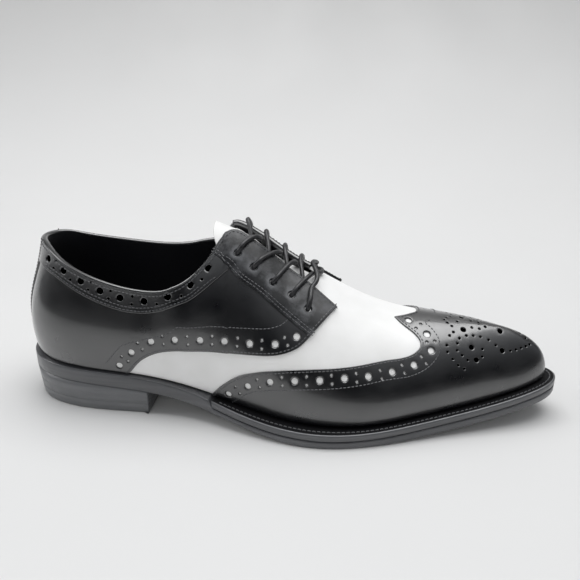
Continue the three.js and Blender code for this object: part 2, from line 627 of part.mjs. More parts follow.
// The shoe as named pieces. The upper is the vamp and lining as one wall, open at the collar, the
// throat and underneath.
const shoe = new THREE.Group();
function addPiece(name, geometry, finish) {
  const mesh = new THREE.Mesh(geometry, new THREE.MeshStandardMaterial(finish));
  mesh.name = name;
  mesh.position.x = -HEEL_REST;
  shoe.add(mesh);
}

const holes = { lateral: eyeletCutters(SIDES.lateral), medial: eyeletCutters(SIDES.medial) };
const upper = cut(leather(UPPER_GRID, -WALL, 0), [...holes.lateral, ...holes.medial]);
addPiece('outsole', outsole(), SOLE_BLACK);
addPiece('welt', welt(), SOLE_BLACK);
addPiece('heel', heel(), SOLE_BLACK);
addPiece('insole', insole(), LINING_BLACK);
addPiece('upper', upper, WHITE_LEATHER);
addPiece('wing_cap', wingCap(), BLACK_LEATHER);
for (const [name, side] of Object.entries(SIDES)) {
  addPiece(`quarter_${name}`, cut(quarter(side), holes[name]), BLACK_LEATHER);
  addPiece(`eyestay_${name}`, cut(eyestay(side), holes[name]), GREY_LEATHER);
  addPiece(`collar_band_${name}`, collarBand(side), BLACK_LEATHER);
}
addPiece('backstay', backstay(), BLACK_LEATHER);
addPiece('tongue', tongue(), WHITE_LEATHER);
for (let i = 0; i + 1 < EYELETS.length; i += 1) {
  addPiece(`lace_crossing_${i + 1}`, laceCrossing(i), LACE_BLACK);
}
addPiece('lace_bar', laceBar(), LACE_BLACK);

export default shoe;
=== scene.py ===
"""Looks of a black and white derby shoe with a winged cap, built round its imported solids."""

import math

import bpy
import numpy as np
from mathutils import Matrix, Vector
from mathutils.geometry import delaunay_2d_cdt
from mathutils.kdtree import KDTree


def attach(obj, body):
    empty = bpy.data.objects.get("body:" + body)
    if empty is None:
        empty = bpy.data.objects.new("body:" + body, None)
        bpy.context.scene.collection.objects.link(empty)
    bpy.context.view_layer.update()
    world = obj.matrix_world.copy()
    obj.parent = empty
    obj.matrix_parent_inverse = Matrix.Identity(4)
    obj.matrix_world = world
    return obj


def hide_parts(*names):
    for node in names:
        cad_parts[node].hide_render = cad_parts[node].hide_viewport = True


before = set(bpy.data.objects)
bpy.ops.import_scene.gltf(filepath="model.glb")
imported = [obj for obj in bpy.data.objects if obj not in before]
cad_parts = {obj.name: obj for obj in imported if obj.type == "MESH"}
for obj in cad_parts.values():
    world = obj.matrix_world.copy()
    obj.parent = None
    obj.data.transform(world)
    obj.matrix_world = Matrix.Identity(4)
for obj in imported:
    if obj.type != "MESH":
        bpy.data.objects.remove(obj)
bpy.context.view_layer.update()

# Sizes are millimetres from the heel's back end; pieces are made in metres from the frame's origin
MM = 0.001
SOLE_LENGTH = 306.0
BALL_WIDTH = 90.0
INSTEP_HEIGHT = 92.0
HEEL_LIFT = 18.9
TOE_SPRING = 14.2
SOLE_THICKNESS = 9.0
TREAD_FLAT = 0.7
WELT_THICKNESS = 4.0
WELT_MARGIN = 8.0
WELT_GRIP = 6.0
INSOLE_THICKNESS = 3.0
HEEL_LENGTH = 76.5
HEEL_TAPER = 1.6
HEEL_REST = 38.0
WALL = 1.6
SEAM = 0.3
TONGUE_THICKNESS = 1.6
TONGUE_REACH = 11.0
LACE_DIAMETER = 2.5
EYELET_DIAMETER = 4.2

# Lifts of the leathers' faces over the last's skin
VAMP_LIFT = 0.25
PANEL_LIFT = 1.15
TRIM_LIFT = 2.05
CUT_EDGE = 0.35

# Camera round a point over the waist of the shoe
CAMERA_TARGET = (112.0, 0.0, 45.0)
CAMERA_YAW = 6.7225
CAMERA_ELEVATION = 24.95
CAMERA_ROLL = 0.457
CAMERA_DISTANCE = 394.0
PHOTO_SIZE = 580.0
PHOTO_FOCUS = 681.7
PHOTO_CENTRE = (-5.77, 34.49)
SENSOR = 36.0

# Sections of the last, the same shares as the solids have
SECTION_COLUMNS = ["x", "foot_l", "foot_m", "aim", "top_x_l", "top_x_m", "top_l", "top_m",
                   "height_l", "height_m", "lean_l", "lean_m", "rise", "arrive",
                   "crown_l", "crown_m", "margin_l", "margin_m"]
SECTIONS = [
    [0.013, 0, 0, 0.111, 0.047, 0.047, 0, 0, 0.715, 0.715, 9, 9, 0.370, 80, 0.289, 0.289, 0.50, 0.50],
    [0.039, -0.228, 0.228, 0.111, 0.066, 0.064, -0.156, 0.156, 0.709, 0.695,
     12, 12, 0.370, 80, 0.289, 0.289, 0.40, 0.40],
    [0.105, -0.344, 0.333, 0.118, 0.114, 0.101, -0.272, 0.272, 0.632, 0.645,
     12, 12, 0.326, 80, 0.267, 0.267, 0.30, 0.30],
    [0.183, -0.367, 0.344, 0.186, 0.186, 0.186, -0.311, 0.311, 0.557, 0.620,
     10, 12, 0.304, 82, 0.222, 0.222, 0.28, 0.28],
    [0.261, -0.361, 0.317, 0.268, 0.261, 0.268, -0.311, 0.306, 0.545, 0.645,
     10, 16, 0.304, 80, 0.222, 0.222, 0.32, 0.28],
    [0.340, -0.372, 0.289, 0.340, 0.330, 0.340, -0.261, 0.261, 0.696, 0.772,
     10, 20, 0.326, 62, 0.267, 0.267, 0.50, 0.36],
    [0.418, -0.417, 0.306, 0.405, 0.392, 0.392, 0.033, 0.033, 1.000, 1.000,
     10, 22, 0.478, 0, 0.178, 0.178, 0.95, 0.60],
    [0.497, -0.494, 0.367, 0.477, 0.464, 0.464, 0.039, 0.039, 0.896, 0.896,
     12, 20, 0.370, 0, 0.244, 0.244, 1.10, 0.80],
    [0.575, -0.530, 0.444, 0.549, 0.539, 0.539, 0.044, 0.044, 0.748, 0.748,
     16, 16, 0.283, 0, 0.311, 0.311, 1.08, 0.88],
    [0.654, -0.494, 0.483, 0.624, 0.614, 0.614, 0.044, 0.044, 0.612, 0.612,
     20, 14, 0.217, 0, 0.344, 0.356, 0.90, 0.88],
    [0.729, -0.397, 0.461, 0.696, 0.686, 0.686, 0.044, 0.044, 0.510, 0.510,
     20, 14, 0.174, 0, 0.322, 0.367, 0.90, 0.88],
    [0.804, -0.294, 0.383, 0.758, 0.752, 0.752, 0.042, 0.042, 0.453, 0.453,
     18, 14, 0.141, 0, 0.278, 0.322, 0.90, 0.88],
    [0.879, -0.194, 0.283, 0.807, 0.804, 0.804, 0.038, 0.038, 0.402, 0.402,
     15, 12, 0.130, 0, 0.233, 0.278, 0.90, 0.88],
    [0.941, -0.094, 0.167, 0.843, 0.843, 0.843, 0.033, 0.033, 0.350, 0.350,
     12, 10, 0.120, 0, 0.222, 0.256, 0.90, 0.90],
    [0.974, 0.033, 0.033, 0.867, 0.870, 0.870, 0.033, 0.033, 0.314, 0.314,
     8, 8, 0.130, 0, 0.300, 0.300, 0.95, 0.95],
]

# Side profile: x as a share of the length, then shares of heel lift, toe spring and sole thickness
PROFILE = np.array([
    [0.000, 1.000, 0.000, 0.96],
    [0.098, 0.947, 0.000, 0.96],
    [0.203, 0.841, 0.000, 0.95],
    [0.310, 0.577, 0.000, 0.90],
    [0.408, 0.233, 0.000, 0.84],
    [0.490, 0.063, 0.000, 0.88],
    [0.588, 0.000, 0.000, 1.00],
    [0.670, 0.000, 0.021, 1.00],
    [0.768, 0.000, 0.183, 1.00],
    [0.866, 0.000, 0.465, 1.00],
    [0.931, 0.000, 0.718, 1.00],
    [1.000, 0.000, 1.010, 1.00],
])

# Edges as rows of (along the half shoe, up the section)
TOPLINE = [[0, 1], [0.33, 1], [0.36, 0.955], [0.385, 0.86], [0.4, 0.82]]
FACING = [[0.4, 0.82], [0.414, 0.838], [0.43, 0.83], [0.447, 0.814], [0.465, 0.812], [0.485, 0.84],
          [0.505, 0.862], [0.53, 0.846], [0.557, 0.833], [0.575, 0.81], [0.606, 0.764]]
QUARTER_EDGE = [[0.244, 0], [0.2545, 0.055], [0.2645, 0.119], [0.282, 0.209], [0.304, 0.296], [0.336, 0.355],
                [0.378, 0.294], [0.419, 0.238], [0.456, 0.256], [0.481, 0.295], [0.515, 0.37], [0.539, 0.437],
                [0.557, 0.512], [0.5786, 0.618], [0.606, 0.764]]
EYESTAY_SEAM = [[0.4, 0.82], [0.427, 0.6], [0.468, 0.545], [0.51, 0.552], [0.557, 0.512]]
BAND_EDGE = [[0.04, 0.81], [0.09, 0.83], [0.128, 0.842], [0.17, 0.811], [0.206, 0.773], [0.24, 0.745],
             [0.275, 0.764], [0.312, 0.827], [0.344, 0.826], [0.369, 0.735], [0.405, 0.618], [0.424, 0.597]]
# The cap's edge as rows of (up, along on the lateral side, along on the medial side)
CAP_EDGE = [[0, 0.385, 0.385], [0.053, 0.397, 0.397], [0.106, 0.416, 0.416], [0.15, 0.438, 0.438],
            [0.178, 0.455, 0.455], [0.29, 0.514, 0.514], [0.388, 0.586, 0.58], [0.461, 0.634, 0.618],
            [0.532, 0.684, 0.652], [0.605, 0.733, 0.684], [0.665, 0.744, 0.706], [0.728, 0.742, 0.724],
            [0.783, 0.733, 0.737], [0.834, 0.722, 0.747], [0.892, 0.7135, 0.7545], [0.922, 0.729, 0.758],
            [0.966, 0.748, 0.7615], [1, 0.761, 0.761]]
CAP_TIP = 14
BACKSTAY_EDGE = [[0.026, 0], [0.03, 0.5], [0.036, 0.8], [0.055, 1]]
EYELETS = [[0.44, 0.674], [0.467, 0.65], [0.499, 0.672], [0.53, 0.682], [0.556, 0.652]]
WELT_START = 0.392

# Rows of the large brogue holes, and of the stitches that close each strip
BAND_HOLES = [[0.0948, 0.933], [0.1378, 0.943], [0.1724, 0.937], [0.2052, 0.915], [0.2385, 0.9],
              [0.28, 0.913], [0.3228, 0.949], [0.3638, 0.882], [0.3948, 0.756]]
QUARTER_HOLES = [[0.2328, 0.076], [0.2563, 0.229], [0.2911, 0.414], [0.333, 0.486], [0.3756, 0.38],
                 [0.4146, 0.295], [0.4568, 0.304], [0.4997, 0.385], [0.5358, 0.484]]
CAP_HOLES = [[0.4175, 0.045], [0.4515, 0.118], [0.489, 0.193], [0.5295, 0.259], [0.5694, 0.307],
             [0.608, 0.359], [0.646, 0.404], [0.686, 0.45], [0.7245, 0.503], [0.7585, 0.611],
             [0.761, 0.75], [0.738, 0.877]]
CAP_ROW = 6.2
CAP_ROW_PITCH = 13.4
CAP_STRIP = 10.8
QUARTER_STRIP = 14.2

# Toe medallion: millimetres along the shoe and out from its own middle line, pricked on both sides
MEDALLION_MIDDLE = -0.3
MEDALLION_LARGE = [[250, 5], [254.2, 12.3], [257, 15.8], [270.7, 0], [271.5, 8]]
MEDALLION_SMALL = [[239.8, 0], [241.4, 2.2], [243.7, 4.2], [244.4, 7.8], [242.2, 10.2], [240.6, 15],
                   [241, 17.6], [243.9, 19.3], [247, 20.3], [250.4, 20.3], [247, 0], [247.6, 10.2],
                   [246.4, 12.8], [246.3, 15.6], [249, 16.6], [252.2, 17.3], [251.5, 8], [255.3, 7], [259.3, 6.4],
                   [263.8, 6.4], [267.8, 7.3], [254.8, 2.6], [259, 2.2], [262.4, 0], [260.2, 11.2],
                   [260.2, 13.8], [276.2, 6.4], [279.4, 4.9], [282.4, 3.3], [285.2, 1.7], [287.4, 0]]

# Tongue rows: along, half width as a share of the section, depth in walls, share of its reach
TONGUE = [
    [0.640, 0.33, 1.50, 0], [0.610, 0.33, 1.60, 0], [0.585, 0.33, 1.75, 0], [0.557, 0.34, 2.10, 0],
    [0.530, 0.35, 2.50, 0], [0.505, 0.36, 2.70, 0], [0.480, 0.37, 2.60, 0], [0.455, 0.38, 2.50, 0],
    [0.432, 0.36, 2.50, 0], [0.432, 0.32, 2.50, 0.5], [0.432, 0.28, 2.50, 0.85], [0.432, 0.20, 2.50, 1],
]

LATERAL, MEDIAL = -1, 1
SIDES = {"lateral": LATERAL, "medial": MEDIAL}
LAST_ROW = len(SECTIONS) - 1


# Splines and the skin of the last
def natural(xs, ys):
    """Cubic spline through rows of values, with no bend at its ends."""
    xs = np.asarray(xs, float)
    ys = np.asarray(ys, float)
    steps = np.diff(xs)
    matrix = np.eye(len(xs))
    drive = np.zeros_like(ys)
    for i in range(1, len(xs) - 1):
        matrix[i, i - 1:i + 2] = steps[i - 1], 2 * (steps[i - 1] + steps[i]), steps[i]
        drive[i] = 6 * ((ys[i + 1] - ys[i]) / steps[i] - (ys[i] - ys[i - 1]) / steps[i - 1])
    bends = np.linalg.solve(matrix, drive)

    def value(x):
        x = np.asarray(x, float)
        i = np.clip(np.searchsorted(xs, x, side="right") - 1, 0, len(xs) - 2)
        step = steps[i]
        f = (x - xs[i]) / step
        if ys.ndim > 1:
            step, f = step[..., None], f[..., None]
        g = 1 - f
        bend = ((g ** 3 - g) * bends[i] + (f ** 3 - f) * bends[i + 1]) * step * step / 6
        return g * ys[i] + f * ys[i + 1] + bend

    return value


LOOP_COLUMNS = ["x", "foot", "aim", "top_x", "top", "height", "lean", "rise", "arrive", "crown", "margin"]


def loop_values(row, side):
    r = dict(zip(SECTION_COLUMNS, row))
    tail = "_l" if side < 0 else "_m"
    return [r.get(name, r.get(name + tail)) for name in LOOP_COLUMNS]


LOOP = np.array([loop_values(row, MEDIAL) for row in SECTIONS]
                + [loop_values(row, LATERAL) for row in SECTIONS[LAST_ROW - 1:0:-1]], float)
RING = np.eye(len(LOOP))
LOOP_BENDS = np.linalg.solve(4 * RING + np.roll(RING, 1, 0) + np.roll(RING, -1, 0),
                             6 * (np.roll(LOOP, -1, 0) - 2 * LOOP + np.roll(LOOP, 1, 0)))


def section(q):
    place = np.mod(np.asarray(q, float) * LAST_ROW, len(LOOP))
    i = np.floor(place).astype(int) % len(LOOP)
    j = (i + 1) % len(LOOP)
    f = (place - np.floor(place))[..., None]
    g = 1 - f
    values = g * LOOP[i] + f * LOOP[j] + ((g ** 3 - g) * LOOP_BENDS[i] + (f ** 3 - f) * LOOP_BENDS[j]) / 6
    return dict(zip(LOOP_COLUMNS, np.moveaxis(values, -1, 0)))


profile = natural(PROFILE[:, 0] * SOLE_LENGTH, PROFILE[:, 1:])
BALL_SEAT = SOLE_THICKNESS + SEAM - TREAD_FLAT
SPINE_OFFSET = BALL_WIDTH / 30
SPINE_START = SOLE_LENGTH / 5


def feather_height(x):
    shares = profile(x)
    return BALL_SEAT + HEEL_LIFT * shares[..., 0] + TOE_SPRING * shares[..., 1]


def sole_top(x):
    return feather_height(x) - SEAM


def sole_bottom(x):
    return np.maximum(0, sole_top(x) - SOLE_THICKNESS * profile(x)[..., 2])


def spine_y(x):
    return SPINE_OFFSET * np.clip(np.asarray(x) / SPINE_START - 1, 0, 1)


RIDGE_BLEND = (0.43, 0.57)


def round_share(q):
    q = np.abs(np.asarray(q, float))
    return np.where(q > 1, 2 - q, q)


def top_point(q, s):
    other = section(-np.asarray(q, float))
    t = np.clip((round_share(q) - RIDGE_BLEND[0]) / (RIDGE_BLEND[1] - RIDGE_BLEND[0]), 0, 1)
    share = 0.5 * t * t * (3 - 2 * t)

    def mix(name):
        return s[name] + (other[name] - s[name]) * share

    return np.stack([mix("top_x") * SOLE_LENGTH, mix("top") * BALL_WIDTH,
                     feather_height(s["x"] * SOLE_LENGTH) + mix("height") * INSTEP_HEIGHT], -1)


SLOPE_STEP = 0.03


def ridge_slope(q):
    along = round_share(q)
    ahead, behind = section(along), section(along - SLOPE_STEP)

    def height(s):
        return feather_height(s["x"] * SOLE_LENGTH) + s["height"] * INSTEP_HEIGHT

    rise = height(ahead) - height(behind)
    run = (ahead["top_x"] - behind["top_x"]) * SOLE_LENGTH
    return np.where(along < RIDGE_BLEND[0] - 0.01, 0, rise / np.where(np.abs(run) < 1e-6, 1, run))


def inward(s):
    x, y = s["x"] * SOLE_LENGTH, s["foot"] * BALL_WIDTH
    way = np.stack([s["aim"] * SOLE_LENGTH - x, spine_y(x) - y], -1)
    return way / np.linalg.norm(way, axis=-1, keepdims=True)


def last_point(q, w):
    q, w = np.broadcast_arrays(np.asarray(q, float), np.asarray(w, float))
    s = section(q)
    x, y = s["x"] * SOLE_LENGTH, s["foot"] * BALL_WIDTH
    foot = np.stack([x, y, feather_height(x)], -1)
    top = top_point(q, s)
    way = inward(s)
    lean, arrive = np.radians(s["lean"]), np.radians(s["arrive"])
    rise, crown = s["rise"] * INSTEP_HEIGHT, s["crown"] * BALL_WIDTH
    low = foot + rise[..., None] * np.stack([-way[..., 0] * np.sin(lean), -way[..., 1] * np.sin(lean),
                                             np.cos(lean)], -1)
    tilt = np.sin(arrive) + np.cos(arrive) * way[..., 0] * ridge_slope(q)
    high = top - crown[..., None] * np.stack([way[..., 0] * np.cos(arrive), way[..., 1] * np.cos(arrive),
                                              tilt], -1)
    w = w[..., None]
    v = 1 - w
    return v ** 3 * foot + 3 * v * v * w * low + 3 * v * w * w * high + w ** 3 * top


STEP = 0.002


def slopes(q, w):
    along = (last_point(q + STEP, w) - last_point(q - STEP, w)) / (2 * STEP)
    up = (last_point(q, w + STEP) - last_point(q, w - STEP)) / (2 * STEP)
    return along, up


def unit(v):
    return v / np.maximum(np.linalg.norm(v, axis=-1, keepdims=True), 1e-12)


def skin_normal(q, w):
    q, w = np.broadcast_arrays(np.asarray(q, float), np.asarray(w, float))

    def side_normal(a):
        along, up = slopes(a, w)
        return unit(np.cross(up, along))

    near = np.clip((w - 0.97) / 0.03, 0, 1) * (np.abs(q) >= RIDGE_BLEND[1])
    blend = (0.5 * near)[..., None]
    return unit(side_normal(q) * (1 - blend) + side_normal(-q) * blend)


# The foot of the upper tucks in over the sole, which leaves a dark line round it
TUCK_HEIGHT = 0.06
TUCK_DEPTH = 1.6


def skin(q, w, lift):
    q, w = np.broadcast_arrays(np.asarray(q, float), np.asarray(w, float))
    tuck = TUCK_DEPTH * np.clip(1 - w / TUCK_HEIGHT, 0, 1) ** 2
    return last_point(q, w) + skin_normal(q, w) * (np.asarray(lift, float) - tuck)[..., None]


def wrapped(q, w):
    """Places past the ridge belong to the other side."""
    over = (w > 1) & (np.abs(q) >= RIDGE_BLEND[1] - 0.03)
    return np.where(over, -q, q), np.where(over, 2 - w, w)


def moved(q, w, step):
    """Place on the skin reached by a step of millimetres."""
    along, up = slopes(q, w)
    a, b, c = (along * along).sum(-1), (along * up).sum(-1), (up * up).sum(-1)
    d, e = (along * step).sum(-1), (up * step).sum(-1)
    det = a * c - b * b
    return wrapped(q + (d * c - e * b) / det, w + (e * a - d * b) / det)


FLAT_STRETCH = 1.08


def flat(q, w):
    """The skin rolled out flat: places on the plan, pushed out by the length of the wall."""
    q, w = np.broadcast_arrays(np.asarray(q, float), np.asarray(w, float))
    s = section(q)
    top = top_point(q, s)
    foot = last_point(q, np.zeros_like(w))
    length = FLAT_STRETCH * np.linalg.norm(top - foot, axis=-1)
    return top[..., :2] - inward(s) * (length * (1 - w))[..., None]


# Paths on the skin
def travelled(points):
    """Length along a line at each of its points."""
    return np.concatenate([[0], np.cumsum(np.linalg.norm(np.diff(points, axis=0), axis=1))])


def resampled(places, spacing, lift=0.0):
    """Places (q, w) at even steps along a dense path."""
    points = skin(places[:, 0], places[:, 1], lift)
    length = travelled(points)
    count = max(2, int(round(length[-1] / spacing)) + 1)
    at = np.linspace(0, length[-1], count)
    return np.stack([np.interp(at, length, places[:, k]) for k in (0, 1)], -1)


def smooth_path(rows, side=1, corners=(), spacing=1.2):
    """Smooth path through table rows on one side, with corners at the listed rows."""
    rows = np.array(rows, float) * [side, 1]
    stops = [0, *corners, len(rows) - 1]
    pieces = []
    for a, b in zip(stops, stops[1:]):
        part = rows[a:b + 1]
        points = last_point(part[:, 0], part[:, 1])
        chord = travelled(points)
        dense = natural(chord, part)(np.linspace(0, chord[-1], max(20, int(chord[-1] * 4))))
        piece = resampled(dense, spacing)
        pieces.append(piece if not pieces else piece[1:])
    return np.concatenate(pieces)


def level_path(start, end, up, spacing=1.2):
    """Path along the shoe at one height of the section."""
    q = np.linspace(start, end, 400)
    return resampled(np.stack([q, np.full_like(q, up)], -1), spacing)


def sideways(places, sign):
    """Unit steps to one side of a path, in the skin."""
    points = last_point(places[:, 0], places[:, 1])
    ahead = np.gradient(points, axis=0)
    return unit(np.cross(skin_normal(places[:, 0], places[:, 1]), ahead)) * sign


# A point of an offset path is kept where it lies this share of the distance from the first path
OFFSET_KEPT = 0.93


def beside(places, distance):
    """Path at a distance from another, to its left where positive."""
    q, w = moved(places[:, 0], places[:, 1], sideways(places, 1) * distance)
    found = np.stack([q, w], -1)
    start = last_point(places[:, 0], places[:, 1])
    tree = KDTree(len(start))
    for i, point in enumerate(start):
        tree.insert(point, i)
    tree.balance()
    points = last_point(q, w)
    keep = [tree.find(point)[2] > OFFSET_KEPT * abs(distance) for point in points]
    return found[np.array(keep) & (w > 0) & (q * places[:, 0] > 0)]


TOE_START = (0.85, 0.8)
TOE_MIDDLE = 3
SEARCH_STEPS = 40


def place_over(x, y):
    """Place on the skin over a plan point of the toe."""
    q, w = np.array([TOE_START[0] * (1 if y > TOE_MIDDLE else -1)]), np.array([TOE_START[1]])
    for _ in range(SEARCH_STEPS):
        point = last_point(q, w)
        q, w = moved(q, w, np.array([[x, y, 0]]) - point * [1, 1, 0])
    return q[0], w[0]


# Meshes
def wound(points, faces, normals):
    """Faces wound so that they look the way their normals do."""
    first, second, third = (points[[face[i] for face in faces]] for i in range(3))
    looks = np.cross(second - first, third - second)
    if (looks * normals[[face[0] for face in faces]]).sum() < 0:
        return [face[::-1] for face in faces]
    return faces


def piece(name, points, faces, material, normals=None, replaces=(), slot=None, painted_sheen=None):
    mesh = bpy.data.meshes.new(name)
    if normals is not None:
        faces = wound(points, faces, normals)
    places = (np.asarray(points, float) - [HEEL_REST, 0, 0]) * MM
    mesh.from_pydata(places.tolist(), [], [tuple(int(i) for i in face) for face in faces])
    mesh.update()
    mesh.shade_smooth()
    if normals is not None:
        mesh.normals_split_custom_set_from_vertices(unit(np.asarray(normals, float)).tolist())
    # A painted highlight, when given, is stored per point for the material to lighten its colour
    if painted_sheen is not None:
        mesh.attributes.new("painted_sheen", "FLOAT", "POINT").data.foreach_set("value", painted_sheen)
    mesh.materials.append(material)
    thing = bpy.data.objects.new(name, mesh)
    bpy.context.scene.collection.objects.link(thing)
    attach(thing, "root")
    if replaces:
        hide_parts(*replaces)
    return thing


def strip_faces(first, second, count, closed):
    """Quads between two rings of points that start at two indices."""
    last = count if closed else count - 1
    return [(first + i, first + (i + 1) % count, second + (i + 1) % count, second + i) for i in range(last)]


def grid_faces(rows, columns, closed=False):
    faces = []
    for r in range(rows - 1):
        faces += strip_faces(r * columns, (r + 1) * columns, columns, closed)
    return faces


def capped_faces(rows, columns):
    """Quads of a closed stack of rings, with a face over each end."""
    faces = grid_faces(rows, columns, True)
    faces.append(tuple(range(columns - 1, -1, -1)))
    faces.append(tuple(range((rows - 1) * columns, rows * columns)))
    return faces


def signed_area(points):
    x, y = points[:, 0], points[:, 1]
    return 0.5 * float(np.sum(x * np.roll(y, -1) - np.roll(x, -1) * y))


def inside(points, polygon):
    """Which points lie inside a closed polygon."""
    x, y = points[:, 0][:, None], points[:, 1][:, None]
    x1, y1 = polygon[:, 0][None], polygon[:, 1][None]
    x2, y2 = np.roll(polygon[:, 0], -1)[None], np.roll(polygon[:, 1], -1)[None]
    crossing = (y1 > y) != (y2 > y)
    rise = np.where(np.abs(y2 - y1) < 1e-12, 1e-12, y2 - y1)
    left = x < (x2 - x1) * (y - y1) / rise + x1
    return (crossing & left).sum(1) % 2 == 1


EDGE_TURNS = (0.0, 30.0, 60.0, 90.0)


def edge_rings(outline, top, base, roll):
    """Rings of places, lifts and normals from the foot of a cut edge up over its roll."""
    points = last_point(outline[:, 0], outline[:, 1])
    normal = skin_normal(outline[:, 0], outline[:, 1])
    ahead = unit(np.roll(points, -1, 0) - points)
    behind = unit(points - np.roll(points, 1, 0))
    side_a, side_b = unit(np.cross(normal, ahead)), unit(np.cross(normal, behind))
    inner = unit(side_a + side_b)
    miter = 1 / np.clip((inner * side_a).sum(-1), 0.5, 1)
    rings = [(outline, np.full(len(outline), base), -inner)]
    for turn in EDGE_TURNS:
        angle = math.radians(turn)
        step = inner * (miter * roll * (1 - math.cos(angle)))[:, None]
        q, w = moved(outline[:, 0], outline[:, 1], step)
        lift = np.full(len(outline), top - roll * (1 - math.sin(angle)))
        rings.append((np.stack([q, w], -1), lift, normal * math.sin(angle) - inner * math.cos(angle)))
    return rings


HOLE_STEPS = ((0.0, 1.0, 0.0), (0.3, 0.5, 40.0), (0.65, 0.14, 68.0), (1.0, 0.0, 90.0))


def hole_rings(hole, top):
    """Rings from the foot of a punched hole up over its pressed lip."""
    q, w = np.array([hole["q"]]), np.array([hole["w"]])
    normal = skin_normal(q, w)[0]
    along = unit(slopes(q, w)[0])[0]
    across = np.cross(normal, along)
    count = hole["sides"]
    angles = -2 * np.pi * np.arange(count) / count
    spokes = np.cos(angles)[:, None] * along + np.sin(angles)[:, None] * across

    def ring(radius):
        return np.stack(moved(np.full(count, q[0]), np.full(count, w[0]), spokes * radius), -1)

    rings = [(ring(hole["radius"]), np.full(count, hole["floor"]), -spokes)]
    for out, drop, turn in HOLE_STEPS:
        angle = math.radians(turn)
        lift = np.full(count, top - hole["dip"] * drop)
        looks = normal * math.sin(angle) - spokes * math.cos(angle)
        rings.append((ring(hole["radius"] + out * hole["lip"]), lift, looks))
    return rings


def hole(q, w, radius, lip, dip, floor, closed=False, sides=14):
    return {"q": q, "w": w, "radius": radius, "lip": lip, "dip": dip, "floor": floor, "closed": closed,
            "sides": sides}


# Millimetres that one unit of q and of w cover, about
SPAN_ALONG = 330
SPAN_UP = 88


def fill_places(outline, spacing):
    """A grid of places over the part of the skin that an outline covers."""
    found = []
    for side in (LATERAL, MEDIAL):
        own = outline[outline[:, 0] * side >= 0]
        if len(own) < 3:
            continue
        q0, q1 = np.abs(own[:, 0]).min(), np.abs(own[:, 0]).max()
        w0, w1 = own[:, 1].min(), own[:, 1].max()
        columns = max(3, int((q1 - q0) * SPAN_ALONG / spacing))
        rows = max(3, int((w1 - w0) * SPAN_UP / spacing))
        for i in range(columns + 1):
            for j in range(rows + 1):
                q = q0 + (q1 - q0) * (i + 0.5 * (j % 2)) / columns
                w = w0 + (w1 - w0) * j / rows
                if q < 1 and w < 0.999:
                    found.append((side * q, w))
    return np.array(found)


# Room that the inner points keep from a cut edge, in spacings, and from a hole, in its own reach
EDGE_ROOM = 0.4
HOLE_ROOM = 1.25
MERGE_AT = 1e-7


def leather(name, outline, material, top, base, holes=(), roll=CUT_EDGE, spacing=2.2, replaces=(), slot=None,
            sheen_paint=None):
    """A flat-cut piece of leather on the skin, with rolled cut edges and punched holes."""
    if signed_area(flat(outline[:, 0], outline[:, 1])) < 0:
        outline = outline[::-1]
    stacks = [edge_rings(outline, top, base, roll)] + [hole_rings(item, top) for item in holes]
    places, lifts, normals, faces, loops = [], [], [], [], []
    start = 0
    for rings in stacks:
        count = len(rings[0][0])
        for k, (where, lift, normal) in enumerate(rings):
            places.append(where)
            lifts.append(lift)
            normals.append(normal)
            if k:
                faces += strip_faces(start + (k - 1) * count, start + k * count, count, True)
        start += count * len(rings)
        loops.append(list(range(start - count, start)))
    border = np.concatenate(loops)
    all_places = np.concatenate(places)
    rim = all_places[border]
    rim_flat = flat(rim[:, 0], rim[:, 1])
    fill = fill_places(outline, spacing)
    fill_flat = flat(fill[:, 0], fill[:, 1])
    polygon = rim_flat[:len(loops[0])]
    keep = inside(fill_flat, polygon)
    fill, fill_flat = fill[keep], fill_flat[keep]
    tree = KDTree(len(rim_flat))
    for i, point in enumerate(rim_flat):
        tree.insert((*point, 0), i)
    tree.balance()
    clear = np.array([tree.find((*point, 0))[2] > EDGE_ROOM * spacing for point in fill_flat], bool)
    centres = [(flat(np.array([h["q"]]), np.array([h["w"]]))[0], h["radius"] + h["lip"]) for h in holes]
    for centre, reach in centres:
        clear &= np.linalg.norm(fill_flat - centre, axis=1) > HOLE_ROOM * reach
    fill, fill_flat = fill[clear], fill_flat[clear]
    points = np.concatenate([rim_flat, fill_flat])
    edges, offset = [], 0
    ring_of = np.full(len(points), -1)
    for number, loop in enumerate(loops):
        edges += [(offset + i, offset + (i + 1) % len(loop)) for i in range(len(loop))]
        ring_of[offset:offset + len(loop)] = number
        offset += len(loop)
    found, _, triangles, origin, _, _ = delaunay_2d_cdt([Vector(p) for p in points], edges, [], 0, MERGE_AT)
    index = {}
    total = start
    for k, source in enumerate(origin):
        if source:
            s = source[0]
            index[k] = border[s] if s < len(rim) else total + s - len(rim)
    centroid = np.array([np.mean([found[i][:] for i in t], axis=0) for t in triangles])
    good = inside(centroid, polygon)
    for t, fine in zip(triangles, good):
        if not fine or any(i not in index for i in t):
            continue
        rings = {ring_of[origin[i][0]] for i in t}
        if len(rings) == 1 and min(rings) > 0:
            continue
        faces.append(tuple(index[i] for i in t))
    places.append(fill)
    lifts.append(np.full(len(fill), top))
    normals.append(skin_normal(fill[:, 0], fill[:, 1]))
    total += len(fill)
    for item, rings in zip(holes, stacks[1:]):
        if item["closed"]:
            foot, lift, _ = rings[0]
            places.append(foot)
            lifts.append(lift)
            normals.append(skin_normal(foot[:, 0], foot[:, 1]))
            faces.append(tuple(total + i for i in range(len(foot))))
            total += len(foot)
    all_places = np.concatenate(places)
    all_lifts = np.concatenate(lifts)
    mesh_points = skin(all_places[:, 0], all_places[:, 1], all_lifts)
    # Strength of any painted highlight at each point
    painted_sheen = sheen_paint(mesh_points) if sheen_paint else None
    return piece(name, mesh_points, faces, material, np.concatenate(normals), replaces, slot, painted_sheen)


CORD_SIDES = 14
BRAID_RIDGE = 0.08
BRAID_PITCH = 2.6


